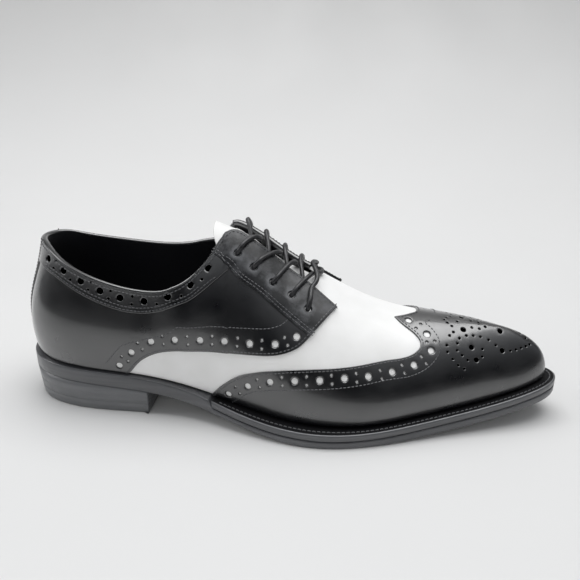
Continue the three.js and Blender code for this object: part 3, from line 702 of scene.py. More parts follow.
def braided(points, radius):
    """Points, faces and normals of a round braided cord along a dense line."""
    points = np.asarray(points, float)
    ahead = unit(np.gradient(points, axis=0))
    side = np.zeros_like(points)
    side[0] = unit(np.cross(ahead[0], [0.3, 0.2, 1.0]))
    for i in range(1, len(points)):
        side[i] = unit(side[i - 1] - ahead[i] * (side[i - 1] @ ahead[i]))
    other = np.cross(ahead, side)
    travel = travelled(points)
    angle = 2 * np.pi * np.arange(CORD_SIDES) / CORD_SIDES
    out = np.cos(angle)[None, :, None] * side[:, None] + np.sin(angle)[None, :, None] * other[:, None]
    phase = 2 * np.pi * travel[:, None] / BRAID_PITCH
    swell = 1 + BRAID_RIDGE * np.cos(2 * angle[None] + phase) * np.cos(2 * angle[None] - phase)
    rim = points[:, None] + out * (radius * swell)[..., None]
    return rim.reshape(-1, 3), capped_faces(len(points), CORD_SIDES), out.reshape(-1, 3)


def joined(parts):
    """One set of points, faces and normals from many."""
    points, faces, normals, start = [], [], [], 0
    for p, f, n in parts:
        points.append(p)
        normals.append(n)
        faces += [tuple(i + start for i in face) for face in f]
        start += len(p)
    return np.concatenate(points), faces, np.concatenate(normals)


def curve_through(points, count):
    """Smooth line through a few points."""
    points = np.asarray(points, float)
    chord = travelled(points)
    return natural(chord, points)(np.linspace(0, chord[-1], count))


# Stitches: short threads half sunk in the leather
STITCH_PITCH = 2.1
STITCH_LENGTH = 1.55
THREAD = 0.6
STITCH_SIDES = 6
STITCH_BOW = ((-0.5, -0.7, 0.55), (-0.36, 0.1, 0.95), (0.0, 0.35, 1.0), (0.36, 0.1, 0.95), (0.5, -0.7, 0.55))


def threads(points, normal, length=STITCH_LENGTH, thread=THREAD):
    """One short bowed thread at each point of a row."""
    ahead = unit(np.gradient(points, axis=0))
    across = unit(np.cross(normal, ahead))
    angle = 2 * np.pi * np.arange(STITCH_SIDES) / STITCH_SIDES
    faces = capped_faces(len(STITCH_BOW), STITCH_SIDES)
    parts = []
    for i in range(len(points)):
        out = np.cos(angle)[:, None] * across[i] + np.sin(angle)[:, None] * normal[i]
        rows = [points[i] + ahead[i] * (along * length) + normal[i] * (rise * thread / 2)
                + out * (thread / 2 * swell) for along, rise, swell in STITCH_BOW]
        parts.append((np.concatenate(rows), faces, np.tile(out, (len(STITCH_BOW), 1))))
    return parts


def stitches(places, lift):
    """A row of threads along a path on the skin."""
    places = resampled(places, STITCH_PITCH)
    q, w = places[:, 0], places[:, 1]
    return threads(skin(q, w, lift), skin_normal(q, w))


# Materials
def shader_of(made):
    return made.node_tree.nodes["Principled BSDF"]


def material(name, colour, roughness, **sockets):
    made = bpy.data.materials.new(name)
    made.use_nodes = True
    shader = shader_of(made)
    shader.inputs["Base Color"].default_value = (*colour, 1)
    shader.inputs["Roughness"].default_value = roughness
    for socket, value in sockets.items():
        shader.inputs[socket.replace("_", " ")].default_value = value
    made.diffuse_color = (*colour, 1)
    return made


def add_node(made, kind, **values):
    node = made.node_tree.nodes.new(kind)
    for name, value in values.items():
        key = name.replace("_", " ")
        if key in node.inputs:
            node.inputs[key].default_value = value
        else:
            setattr(node, name, value)
    return node


def link(made, source, target):
    made.node_tree.links.new(source, target)


def noise(made, scale, detail=2.0, rough=0.5, stretch=None):
    """Noise over the piece's own coordinates, in features per metre."""
    places = add_node(made, "ShaderNodeTexCoord")
    vector = places.outputs["Object"]
    if stretch:
        mapping = add_node(made, "ShaderNodeMapping")
        mapping.inputs["Scale"].default_value = stretch
        link(made, vector, mapping.inputs["Vector"])
        vector = mapping.outputs["Vector"]
    texture = add_node(made, "ShaderNodeTexNoise", Scale=scale, Detail=detail, Roughness=rough)
    link(made, vector, texture.inputs["Vector"])
    return texture.outputs["Fac"]


def spread(made, value, low, high, out_low, out_high):
    """Value stretched from one range to another."""
    node = add_node(made, "ShaderNodeMapRange")
    for socket, number in zip(("From Min", "From Max", "To Min", "To Max"), (low, high, out_low, out_high)):
        node.inputs[socket].default_value = number
    link(made, value, node.inputs["Value"])
    return node.outputs["Result"]


def vary_roughness(made, value, low, high):
    link(made, spread(made, value, 0.3, 0.7, low, high), shader_of(made).inputs["Roughness"])


def vary_colour(made, value, first, second, low=0.35, high=0.65):
    ramp = add_node(made, "ShaderNodeValToRGB")
    ramp.color_ramp.elements[0].position = low
    ramp.color_ramp.elements[1].position = high
    ramp.color_ramp.elements[0].color = (*first, 1)
    ramp.color_ramp.elements[1].color = (*second, 1)
    link(made, value, ramp.inputs["Fac"])
    link(made, ramp.outputs["Color"], shader_of(made).inputs["Base Color"])


def bump(made, value, depth, strength=1.0, over=None):
    """Bump of a depth in millimetres, over an earlier bump if one is given."""
    node = add_node(made, "ShaderNodeBump", Strength=strength, Distance=depth * MM)
    link(made, value, node.inputs["Height"])
    if over:
        link(made, over, node.inputs["Normal"])
    link(made, node.outputs["Normal"], shader_of(made).inputs["Normal"])
    return node.outputs["Normal"]


def black_leather():
    made = material("polished_black", (0.0015, 0.0018, 0.003), 0.3, IOR=2.0,
                    Coat_Weight=0.9, Coat_Roughness=0.13)
    vary_roughness(made, noise(made, 70, 3), 0.26, 0.38)
    fine = bump(made, noise(made, 2200, 2), 0.03, 0.5)
    bump(made, noise(made, 90, 2), 0.35, 0.35, fine)
    return made


def white_leather():
    made = material("smooth_white", (0.86, 0.86, 0.85), 0.38, Coat_Weight=0.1, Coat_Roughness=0.3)
    vary_colour(made, noise(made, 45, 3), (0.83, 0.83, 0.82), (0.89, 0.89, 0.885))
    vary_roughness(made, noise(made, 120, 2), 0.34, 0.46)
    fine = bump(made, noise(made, 1900, 3), 0.03, 0.4)
    bump(made, noise(made, 60, 2), 0.4, 0.3, fine)
    return made


def grey_leather():
    made = material("waxed_grey", (0.02, 0.021, 0.025), 0.4, Coat_Weight=0.1, Coat_Roughness=0.35)
    clouds = noise(made, 95, 5, 0.65)
    # The attribute carries the painted highlight ring round the eyelets; added to the clouds, it lightens the
    # colour there
    sheen_paint = add_node(made, "ShaderNodeAttribute", attribute_name="painted_sheen")
    both = add_node(made, "ShaderNodeMath", operation="ADD")
    link(made, clouds, both.inputs[0])
    link(made, sheen_paint.outputs["Fac"], both.inputs[1])
    vary_colour(made, both.outputs["Value"], (0.003, 0.0035, 0.005), (0.1, 0.103, 0.11), 0.46, 0.8)
    vary_roughness(made, noise(made, 140, 3), 0.3, 0.5)
    fine = bump(made, noise(made, 1500, 3), 0.05, 0.7)
    bump(made, clouds, 0.3, 0.4, fine)
    return made


def sole_edge():
    made = material("edge_dressing", (0.026, 0.027, 0.03), 0.34, IOR=1.7,
                    Coat_Weight=0.4, Coat_Roughness=0.22)
    layers = noise(made, 500, 3, 0.6, (0.03, 0.03, 1.0))
    vary_colour(made, layers, (0.05, 0.052, 0.057), (0.085, 0.087, 0.094))
    vary_roughness(made, noise(made, 200, 3), 0.3, 0.46)
    fine = bump(made, noise(made, 1800, 3), 0.04, 0.5)
    bump(made, layers, 0.12, 0.5, fine)
    return made


def heel_rubber():
    made = material("heel_rubber", (0.04, 0.042, 0.047), 0.4, IOR=1.6, Coat_Weight=0.3, Coat_Roughness=0.3)
    layers = noise(made, 420, 3, 0.6, (0.03, 0.03, 1.0))
    vary_colour(made, layers, (0.12, 0.124, 0.13), (0.145, 0.149, 0.156))
    vary_roughness(made, noise(made, 160, 3), 0.34, 0.52)
    bump(made, layers, 0.15, 0.5)
    return made


# Welt top: near-black, far darker than the dressed side of the same welt, as painted shade under the upper's
# overhang; its matte roughness and grain are its own
def welt_grain_and_shade():
    made = material("welt_grain_and_shade", (0.004, 0.004, 0.005), 0.75, IOR=1.3)
    vary_roughness(made, noise(made, 300, 3), 0.6, 0.85)
    bump(made, noise(made, 1400, 3), 0.12, 0.9)
    return made


def lining_leather():
    made = material("black_lining", (0.007, 0.007, 0.009), 0.6)
    vary_roughness(made, noise(made, 120, 3), 0.55, 0.75)
    bump(made, noise(made, 1300, 3), 0.06, 0.7)
    return made


def lace_cord():
    made = material("waxed_cord", (0.012, 0.012, 0.014), 0.38, IOR=1.6)
    vary_colour(made, noise(made, 1200, 2), (0.004, 0.004, 0.005), (0.02, 0.02, 0.023))
    vary_roughness(made, noise(made, 900, 2), 0.34, 0.55)
    bump(made, noise(made, 3000, 2), 0.06, 0.8)
    return made


# The thread is black; its colour is lifted to dark grey as a painted sheen, so the stitch rows read as glints on
# the black leather
def black_thread():
    made = material("black_thread", (0.075, 0.077, 0.082), 0.36, IOR=1.6, Coat_Weight=0.3, Coat_Roughness=0.2)
    vary_roughness(made, noise(made, 2500, 2), 0.28, 0.46)
    bump(made, noise(made, 5000, 2), 0.04, 0.8)
    return made


BLACK, WHITE, GREY = black_leather(), white_leather(), grey_leather()
EDGE, RUBBER, LINING, WELT_TOP = sole_edge(), heel_rubber(), lining_leather(), welt_grain_and_shade()
CORD, BLACK_THREAD = lace_cord(), black_thread()


# Brogueing: a row of large holes with a pair of small ones in each space
LARGE_HOLE = {"radius": 1.75, "lip": 0.85, "dip": 0.5}
SMALL_HOLE = {"radius": 0.72, "lip": 0.5, "dip": 0.3, "sides": 10}
MEDALLION_HOLE = {"radius": 1.35, "lip": 0.6, "dip": 0.4, "sides": 12}
MEDALLION_DOT = {"radius": 0.65, "lip": 0.45, "dip": 0.3, "sides": 10}
MEDALLION_FLOOR = 0.5
PAIR_SPREAD = 2.25
PIT = 0.35
BAND_PIT = 1.28


def brogue_row(table, side, floor, closed):
    """Holes along one side's row."""
    path = smooth_path(table, side, spacing=0.5)
    holes = [hole(side * q, w, floor=floor, closed=closed, **LARGE_HOLE) for q, w in table]
    points = last_point(path[:, 0], path[:, 1])
    left = sideways(path, 1)
    large = [last_point(side * q, w) for q, w in table]
    for a, b in zip(large, large[1:]):
        i = int(np.argmin(np.linalg.norm(points - (a + b) / 2, axis=1)))
        for way in (-1, 1):
            q, w = moved(path[i:i + 1, 0], path[i:i + 1, 1], left[i:i + 1] * (way * PAIR_SPREAD))
            holes.append(hole(q[0], w[0], floor=floor, closed=closed, **SMALL_HOLE))
    return holes


def around(path):
    """Places with q brought back between the two ends of the loop."""
    q = np.mod(path[:, 0] + 1, 2) - 1
    return np.stack([q, path[:, 1]], -1)


def closed_outline(*paths):
    """One loop of places from paths laid end to end."""
    places = np.concatenate(paths)
    points = last_point(places[:, 0], places[:, 1])
    gap = np.linalg.norm(points - np.roll(points, 1, 0), axis=1)
    return places[gap > 0.35]


def line(table, side, backwards=False, **options):
    path = smooth_path(table, side, **options)
    return path[::-1] if backwards else path


# Vamp: the white forepart, under every black piece in front of the heel
VAMP_TOP = [[0.19, 0], [0.205, 0.12], [0.23, 0.32], [0.26, 0.47], [0.3, 0.56], [0.335, 0.58], [0.375, 0.49],
            [0.42, 0.41], [0.46, 0.41], [0.5, 0.49], [0.53, 0.6], [0.545, 0.74], [0.557, 0.833]]
THROAT = [[0.557, 0.833], [0.5655, 0.885], [0.575, 0.94], [0.585, 1]]


def vamp():
    outline = closed_outline(
        line(VAMP_TOP, MEDIAL),
        line(THROAT, MEDIAL),
        line(THROAT, LATERAL, backwards=True),
        line(VAMP_TOP, LATERAL, backwards=True),
        around(level_path(1.81, 0.19, 0)),
    )
    leather("vamp", outline, WHITE, VAMP_LIFT, -WALL, spacing=2.4, replaces=["upper"], slot="white_leather")


def cap_line(side):
    """The cap's edge on one side, with a corner at the W tip."""
    column = 1 if side == LATERAL else 2
    rows = [[row[column], row[0]] for row in CAP_EDGE]
    return line(rows, side, corners=(CAP_TIP,) if side == LATERAL else ())


def medial_cap_holes():
    """Large holes at even steps beside the cap's medial edge."""
    row = resampled(beside(cap_line(MEDIAL), CAP_ROW), CAP_ROW_PITCH)
    return [[q, w] for q, w in row[:-1] if w > 0.03]


def medallion():
    """Pits of the toe's pricked ornament, on both sides of its middle line."""
    holes = []
    for rows, shape in ((MEDALLION_LARGE, MEDALLION_HOLE), (MEDALLION_SMALL, MEDALLION_DOT)):
        for x, out in rows:
            for side in (LATERAL, MEDIAL) if out else (LATERAL,):
                q, w = place_over(x, MEDALLION_MIDDLE + side * out)
                holes.append(hole(q, w, floor=MEDALLION_FLOOR, closed=True, **shape))
    return holes


def cap():
    holes = brogue_row(CAP_HOLES, LATERAL, PIT, False) + brogue_row(medial_cap_holes(), MEDIAL, PIT, False)
    holes += medallion()
    outline = closed_outline(
        cap_line(MEDIAL),
        cap_line(LATERAL)[::-1],
        around(level_path(1.615, 0.385, 0)),
    )
    leather("wing_cap_leather", outline, BLACK, PANEL_LIFT, PIT - 0.15, holes, spacing=2.0,
            replaces=["wing_cap"], slot="black_leather")


HEEL_JOIN = 0.0008


def quarter(name, side):
    holes = brogue_row(QUARTER_HOLES, side, PIT, False)
    bottom = level_path(side * HEEL_JOIN, side * QUARTER_EDGE[0][0], 0)
    back = np.stack([np.full(60, side * HEEL_JOIN), np.linspace(1, 0, 60)], -1)
    outline = closed_outline(
        bottom,
        line(QUARTER_EDGE, side, corners=(12,)),
        line(FACING, side, backwards=True),
        line(TOPLINE[1:], side, backwards=True),
        level_path(side * TOPLINE[1][0], side * HEEL_JOIN, 1),
        resampled(back, 1.2),
    )
    leather(f"quarter_{name}_leather", outline, BLACK, PANEL_LIFT, PIT - 0.15, holes, spacing=2.2,
            replaces=[f"quarter_{name}"], slot="black_leather")


EYESTAY_LIFT = TRIM_LIFT + 0.1
EYELET_HOLE = {"radius": EYELET_DIAMETER / 2 - 0.15, "lip": 0.6, "dip": 0.35, "sides": 18}


# Painted highlight: a lighter ring of colour round each eyelet, standing in for the polish's bright ring on the
# eyelet's lip
EYELET_SHEEN = 0.3
SHEEN_RADIUS = 2.9
SHEEN_WIDTH = 1.1


def eyestay(name, side):
    holes = [hole(side * q, w, floor=-1.3, closed=True, **EYELET_HOLE) for q, w in EYELETS]
    centres = [spot(side * q, w, EYESTAY_LIFT) for q, w in EYELETS]

    # Strength of the painted highlight ring at each point, by its distance from the nearest eyelet
    def lip_sheen(points):
        away = np.min([np.linalg.norm(points - centre, axis=1) for centre in centres], axis=0)
        return EYELET_SHEEN * np.exp(-((away - SHEEN_RADIUS) / SHEEN_WIDTH) ** 2)

    outline = closed_outline(
        line(EYESTAY_SEAM, side),
        line(QUARTER_EDGE[12:], side),
        line(FACING, side, backwards=True),
    )
    leather(f"eyestay_{name}_leather", outline, GREY, EYESTAY_LIFT, PANEL_LIFT - 0.1, holes, roll=0.45,
            spacing=1.3, replaces=[f"eyestay_{name}"], slot="grey_leather", sheen_paint=lip_sheen)


BAND_LIFT = TRIM_LIFT - 0.1
BAND_END = [[0.424, 0.597], [0.43, 0.68], [0.42, 0.77], [0.4, 0.82]]
BAND_START = 0.02


def collar_band(name, side):
    holes = brogue_row(BAND_HOLES, side, BAND_PIT, True)
    edge = [[BAND_START, 0.8]] + BAND_EDGE
    back = np.stack([np.full(30, side * BAND_START), np.linspace(1, 0.8, 30)], -1)
    outline = closed_outline(
        line(edge, side),
        line(BAND_END, side),
        line(TOPLINE[1:], side, backwards=True),
        level_path(side * TOPLINE[1][0], side * BAND_START, 1),
        resampled(back, 1.2),
    )
    leather(f"collar_band_{name}_leather", outline, BLACK, BAND_LIFT, PANEL_LIFT - 0.1, holes, roll=0.45,
            spacing=1.8, replaces=[f"collar_band_{name}"], slot="black_leather")


BACKSTAY_LIFT = TRIM_LIFT + 0.1


def backstay():
    width = BACKSTAY_EDGE[0][0]
    tab = BACKSTAY_EDGE[-1][0]
    outline = closed_outline(
        line(BACKSTAY_EDGE, MEDIAL),
        level_path(tab, -tab, 1),
        line(BACKSTAY_EDGE, LATERAL, backwards=True),
        level_path(-width, width, 0),
    )
    leather("backstay_leather", outline, BLACK, BACKSTAY_LIFT, PANEL_LIFT - 0.1, roll=0.45, spacing=1.8,
            replaces=["backstay"], slot="black_leather")


# Lining: the upper's inner face, and the leather turned over its rim
RIM_STEPS = 10
RIM_ROUND = 0.55
RIM_PROUD = 0.15
LINING_ROWS = 22
THROAT_AT = 0.557


def rim_path(side):
    """Places along one side's rim from the heel back to the throat."""
    top = level_path(0, side * TOPLINE[1][0], 1, 1.0)
    fall, front = (line(table, side, spacing=1.0)[1:] for table in (TOPLINE[1:], FACING))
    path = np.concatenate([top, fall, front])
    return path[np.abs(path[:, 0]) <= THROAT_AT]


def lining():
    path = np.concatenate([rim_path(LATERAL)[::-1], rim_path(MEDIAL)[1:]])
    q, w = path[:, 0], path[:, 1]
    normal = skin_normal(q, w)
    up = unit(slopes(q, w)[1])
    up = unit(up - normal * (up * normal).sum(-1, keepdims=True))
    outer = np.where(np.abs(q) < 0.4, BAND_LIFT, EYESTAY_LIFT) - RIM_PROUD
    radius = (outer + WALL) / 2
    centre = skin(q, w, (outer - WALL) / 2)
    rows, normals = [], []
    for step in range(RIM_STEPS + 1):
        angle = math.pi * step / RIM_STEPS
        out = normal * math.cos(angle) + up * (RIM_ROUND * math.sin(angle))
        rows.append(centre + out * radius[:, None])
        normals.append(unit(normal * math.cos(angle) + up * math.sin(angle)))
    piece("turned_rim", np.concatenate(rows), grid_faces(len(rows), len(path)), BLACK,
          np.concatenate(normals), ["upper"], "black_leather")
    inner, inner_normals = [], []
    for row in range(LINING_ROWS + 1):
        share = 1 - row / LINING_ROWS
        inner.append(skin(q, w * share, -WALL))
        inner_normals.append(-skin_normal(q, w * share))
    piece("lining", np.concatenate(inner), grid_faces(len(inner), len(path)), LINING,
          np.concatenate(inner_normals), ["upper"], "lining_black")


# Tongue
TONGUE_BODY = 50
TONGUE_TIP = 21
TONGUE_RING = 30
TIP_ROW = 8
END_ROW = 11
TAPER_LENGTH = 0.4
TIP_AHEAD = 0.88
TIP_RISE = 0.12
RIDGE_SHARE = 0.12
EDGE_POWER = 0.7
FACE_POWER = 0.35


def tongue_place(place, share, depth):
    """Point of the tongue at a row, a share across it and a depth under its middle sheet."""
    values = natural(np.arange(len(TONGUE)), np.array(TONGUE))(np.asarray(place, float))
    along, half, sink, reach = np.moveaxis(values, -1, 0)
    along = np.maximum(along, TONGUE[-1][0])
    reach = np.where(np.asarray(place) <= TIP_ROW, 0, reach)
    w = 1 - np.abs(share) * half
    lift = -sink * WALL - SEAM - TONGUE_THICKNESS / 2 - depth

    def middle(a, lift):
        return (skin(a, 1.0, lift) + skin(-a, 1.0, lift)) / 2

    one = np.ones(1)
    away = unit(middle(TONGUE[TIP_ROW][0] * one, 0 * one) - middle(TONGUE[TIP_ROW - 1][0] * one, 0 * one))[0]
    away = unit(away * TIP_AHEAD + np.array([0, 0, TIP_RISE]))
    centre = np.clip(1 - np.abs(share) / RIDGE_SHARE, 0, 1)[..., None] * 0.5
    side = np.where(share < 0, -1.0, 1.0)
    point = skin(side * along, w, lift) * (1 - centre) + skin(-side * along, w, lift) * centre
    return point + away * (reach * TONGUE_REACH)[..., None]


def tongue():
    turn = np.arange(TONGUE_RING * 2) * np.pi / TONGUE_RING
    across = np.sign(np.cos(turn)) * np.abs(np.cos(turn)) ** EDGE_POWER
    deep = np.sign(np.sin(turn)) * np.abs(np.sin(turn)) ** FACE_POWER
    body = np.linspace(0, TIP_ROW, TONGUE_BODY)
    places = np.concatenate([body, np.linspace(TIP_ROW, END_ROW, TONGUE_TIP)[1:]])
    rows = []
    for place in places:
        taper = math.sqrt(max(0.05, 1 - max(0, (place - END_ROW + TAPER_LENGTH) / TAPER_LENGTH) ** 2))
        rows.append(tongue_place(np.full(len(turn), place), across, -deep * TONGUE_THICKNESS / 2 * taper))
    count = len(turn)
    faces = capped_faces(len(rows), count)
    piece("tongue_leather", np.concatenate(rows), faces, WHITE, None, ["tongue"], "white_leather")


# Sole: bands swept round the feather line
def outline_point(q, distance):
    """Plan point round the feather line, set out by a distance."""
    def at(place):
        s = section(place)
        return np.stack([s["x"] * SOLE_LENGTH, s["foot"] * BALL_WIDTH], -1)

    q = np.asarray(q, float)
    along = unit(at(q + STEP) - at(q - STEP))
    across = np.stack([-along[..., 1], along[..., 0]], -1)
    return at(q) + across * np.asarray(distance, float)[..., None]


def sole_edge_out(q):
    return section(q)["margin"] * WELT_MARGIN


def spine_point(q):
    x = np.maximum(section(q)["aim"] * SOLE_LENGTH, HEEL_REST)
    return np.stack([x, spine_y(x)], -1)


# The sole's edge as steps in from it and down from its top face, or up from its bottom face
SOLE_POINTS = 440
SOLE_INNER = -4.0
SOLE_TOP_EDGE = ((0.8, 0), (0.25, 0.12), (0, 0.6))
SOLE_LOW_EDGE = ((0, 0.9), (0.2, 0.35), (0.9, 0))
TOP_SHARES = (0, 0.35, 0.7)
LOW_SHARES = (1, 0.8, 0.6, 0.4, 0.2, 0)
WELT_STEP = 0.003


def outsole():
    q = np.linspace(-1, 1, SOLE_POINTS + 1)[:-1]
    edge = sole_edge_out(q)
    cut = WELT_THICKNESS + SEAM
    drop = cut * np.clip((np.abs(q) - WELT_START + WELT_STEP) / WELT_STEP, 0, 1)
    spine = spine_point(q)

    def ring(distance, height, down):
        spot = outline_point(q, distance)
        return np.column_stack([spot, height(spot[:, 0]) - down])

    def fill(share, height, down):
        spot = spine * (1 - share) + outline_point(q, np.full(len(q), SOLE_INNER)) * share
        return np.column_stack([spot, height(spot[:, 0]) - down])

    rows = [fill(share, sole_top, cut) for share in TOP_SHARES]
    rows.append(ring(SOLE_INNER + 0 * edge, sole_top, drop))
    rows += [ring(edge - back, sole_top, drop + down) for back, down in SOLE_TOP_EDGE]
    rows += [ring(edge - back, sole_bottom, -up) for back, up in SOLE_LOW_EDGE]
    rows += [fill(share, sole_bottom, 0) for share in LOW_SHARES]
    piece("outsole_leather", np.concatenate(rows), grid_faces(len(rows), len(q), True), EDGE, None,
          ["outsole"], "sole_black")


WELT_POINTS = 321
WELT_TOP_EDGE = ((1.0, 0), (0.45, 0.12), (0.12, 0.42), (0, 0.95))
WELT_LOW_EDGE = ((0, 0.7), (0.25, 0.15), (0.9, 0))
SHADED_TOP_BANDS = (1, 3)


def feather_places(start, end, count):
    """Values of q at even steps round the toe."""
    return around(np.stack([np.linspace(start, end, count), np.zeros(count)], -1))[:, 0]


def welt():
    q = feather_places(WELT_START, 2 - WELT_START, WELT_POINTS)
    edge = sole_edge_out(q)

    def ring(distance, height):
        spot = outline_point(q, distance)
        return np.column_stack([spot, sole_top(spot[:, 0]) + height])

    foot = 0 * edge
    rows = [ring(foot - WELT_GRIP, -WELT_THICKNESS), ring(foot - WELT_GRIP, 0), ring(foot, 0)]
    rows += [ring(edge - back, -down) for back, down in WELT_TOP_EDGE]
    rows += [ring(edge - back, up - WELT_THICKNESS) for back, up in WELT_LOW_EDGE]
    rows.append(ring(foot, -WELT_THICKNESS))
    count = len(q)
    faces = grid_faces(len(rows), count)
    faces += strip_faces((len(rows) - 1) * count, 0, count, False)
    for end in (0, count - 1):
        cap_face = [row * count + end for row in range(len(rows))]
        faces.append(tuple(cap_face if end == 0 else reversed(cap_face)))
    made = piece("welt_leather", np.concatenate(rows), faces, EDGE, None, ["welt"], "sole_black")
    # The welt's top bands take the near-black material: painted shade under the upper's overhang
    made.data.materials.append(WELT_TOP)
    first, last = (band * (count - 1) for band in SHADED_TOP_BANDS)
    for number, polygon in enumerate(made.data.polygons):
        polygon.material_index = int(first <= number < last)


HEEL_LIFTS = (0.0, 0.5, 5.6, 5.9, 6.2, 11.0, 11.2, 11.4)
HEEL_CUTS = (0.55, 0.0, 0.0, 0.25, 0.0, 0.0, 0.12, 0.0)
HEEL_SPAN = 0.34
HEEL_POINTS = 301
BREAST_POINTS = 24
BREAST_GAP = 0.3
SEAT_GAP = 0.02
SEAT_ROOM = 0.4


def heel():
    """Stack under the outsole, tapered to the floor, with its breast cut straight across."""
    q = np.linspace(-HEEL_SPAN, HEEL_SPAN, HEEL_POINTS)
    full = outline_point(q, sole_edge_out(q))
    keep = full[:, 0] < HEEL_LENGTH - BREAST_GAP
    q = q[keep]
    full = full[keep]
    ends = [full[0], full[-1]]
    corner = [np.array([HEEL_LENGTH, end[1]]) for end in ends]
    breast = np.linspace(corner[1], corner[0], BREAST_POINTS)
    base = np.concatenate([full, breast])
    centre = np.array([HEEL_REST, 0.0])
    shift = unit(np.roll(base, -1, 0) - np.roll(base, 1, 0))
    inner = -np.stack([shift[:, 1], -shift[:, 0]], -1) * np.sign(signed_area(base))
    inner = np.where(((centre - base) * inner).sum(-1, keepdims=True) > 0, inner, -inner)
    side_share = np.concatenate([np.ones(len(full)), np.zeros(BREAST_POINTS)])
    top = sole_bottom(base[:, 0]) - SEAT_GAP
    rows = []
    for lift, cut in list(zip(HEEL_LIFTS, HEEL_CUTS)) + [(None, 0.0)]:
        z = top if lift is None else np.minimum(lift, top - SEAT_ROOM)
        taper = HEEL_TAPER * (1 - z / top) * side_share + cut
        spot = base + inner * taper[:, None]
        rows.append(np.column_stack([spot, z + 0 * top]))
    under = [np.column_stack([base * share + centre * (1 - share), np.zeros(len(base))])
             for share in (0.3, 0.7)]
    over = [np.column_stack([base * share + centre * (1 - share), top * share + top.mean() * (1 - share)])
            for share in (0.7, 0.3)]
    rows = under + rows + over
    count = len(base)
    faces = capped_faces(len(rows), count)
    piece("heel_stack", np.concatenate(rows), faces, RUBBER, None, ["heel"], "heel_black")


def insole():
    q = np.linspace(-1, 1, 301)[:-1]
    inset = np.full(len(q), -(WALL + 2 * SEAM))
    spine = spine_point(q)

    def ring(share, distance, height):
        spot = spine * (1 - share) + outline_point(q, inset - distance) * share
        return np.column_stack([spot, sole_top(spot[:, 0]) + SEAM + height])

    rows = [ring(share, 0, 0) for share in (0, 0.5, 1)]
    rows += [ring(1, 0, INSOLE_THICKNESS - 0.6), ring(1, 0.6, INSOLE_THICKNESS)]
    rows += [ring(share, 0.6, INSOLE_THICKNESS) for share in (0.75, 0.5, 0.25, 0)]
    count = len(q)
    faces = grid_faces(len(rows), count, True)
    piece("insole_sock", np.concatenate(rows), faces, LINING, None, ["insole"], "lining_black")


# Laces: one cord through the eyelets, seen as four crossings and a bar
LACE_RADIUS = LACE_DIAMETER / 2
OVER = EYESTAY_LIFT + LACE_RADIUS
UNDER = -WALL - LACE_RADIUS - 0.1
EYELET_IN = -1.2
EYELET_OUT = 1.2
STRAND_POINTS = 90
BAR_POINTS = 120


def facing_up(along):
    rows = np.array(FACING)
    return float(np.interp(along, rows[:, 0], rows[:, 1]))


def ridge_middle(along, lift):
    one = np.ones(1)
    return ((skin(along * one, one, lift * one) + skin(-along * one, one, lift * one)) / 2)[0]


def spot(q, w, lift):
    return skin(np.array([q]), np.array([w]), np.array([lift]))[0]


# Where each near strand leaves the near facing, and the last one's hook over the throat
NEAR_ENDS = [[0.479, 0.891], [0.514, 0.946], [0.539, 0.95], [0.572, 0.93]]
HOOK = [[-0.583, 0.985, 2.1], [0.581, 0.94, 1.9], [0.571, 0.875, 0.5]]


def under_end(side, i):
    """The cord's hidden end below an eyelet."""
    along, up = EYELETS[i]
    return spot(side * along, up + 0.03, UNDER - 0.1)


def near_strand(i):
    """Line out of a near eyelet, slanting over its facing and in under the far one."""
    here, up = EYELETS[i]
    along, across = NEAR_ENDS[i]

    def slant(share, lift):
        return spot(-(here + share * (along - here)), up + share * (across - up), lift)

    line_points = [spot(-here, up, EYELET_IN), spot(-here, up, EYELET_OUT), slant(0.17, OVER + 0.4),
                   slant(0.42, OVER + 0.1), slant(0.7, OVER - 0.1)]
    if i < len(NEAR_ENDS) - 1:
        line_points += [slant(1, 1.3), ridge_middle(along + 0.004, -0.9), spot(along + 0.006, 0.89, -2.7),
                        spot(along, 0.8, UNDER)]
    else:
        line_points += [slant(1, OVER - 0.9)] + [spot(*place) for place in HOOK] + [spot(0.562, 0.82, UNDER)]
    return line_points + [under_end(MEDIAL, i + 1)]


def far_strand(i):
    """Line out of a far eyelet over the far edge, down across the tongue and in under the near facing."""
    here, up = EYELETS[i]
    after = EYELETS[i + 1][0]
    step = after - here
    edge = facing_up(here)
    return [
        spot(here, up, EYELET_IN),
        spot(here, up, EYELET_OUT),
        spot(here + 0.08 * step, up + 0.3 * (edge - up), OVER + 0.5),
        spot(here + 0.25 * step, up + 0.9 * (edge - up), OVER + 0.1),
        spot(here + 0.45 * step, 0.91, OVER - 0.9),
        ridge_middle(here + 0.8 * step, 0.5),
        spot(-(here + 0.96 * step), 0.91, -1.3),
        spot(-after, facing_up(after), UNDER),
        under_end(LATERAL, i + 1),
    ]


BAR_BOW = {LATERAL: (0, 0, 0.003, 0.009, 0.013), MEDIAL: (0, 0, 0, 0.002, 0.006)}
BAR_MIDDLE = 0.01
BAR_RAISE = {LATERAL: 0.9, MEDIAL: 0.1}


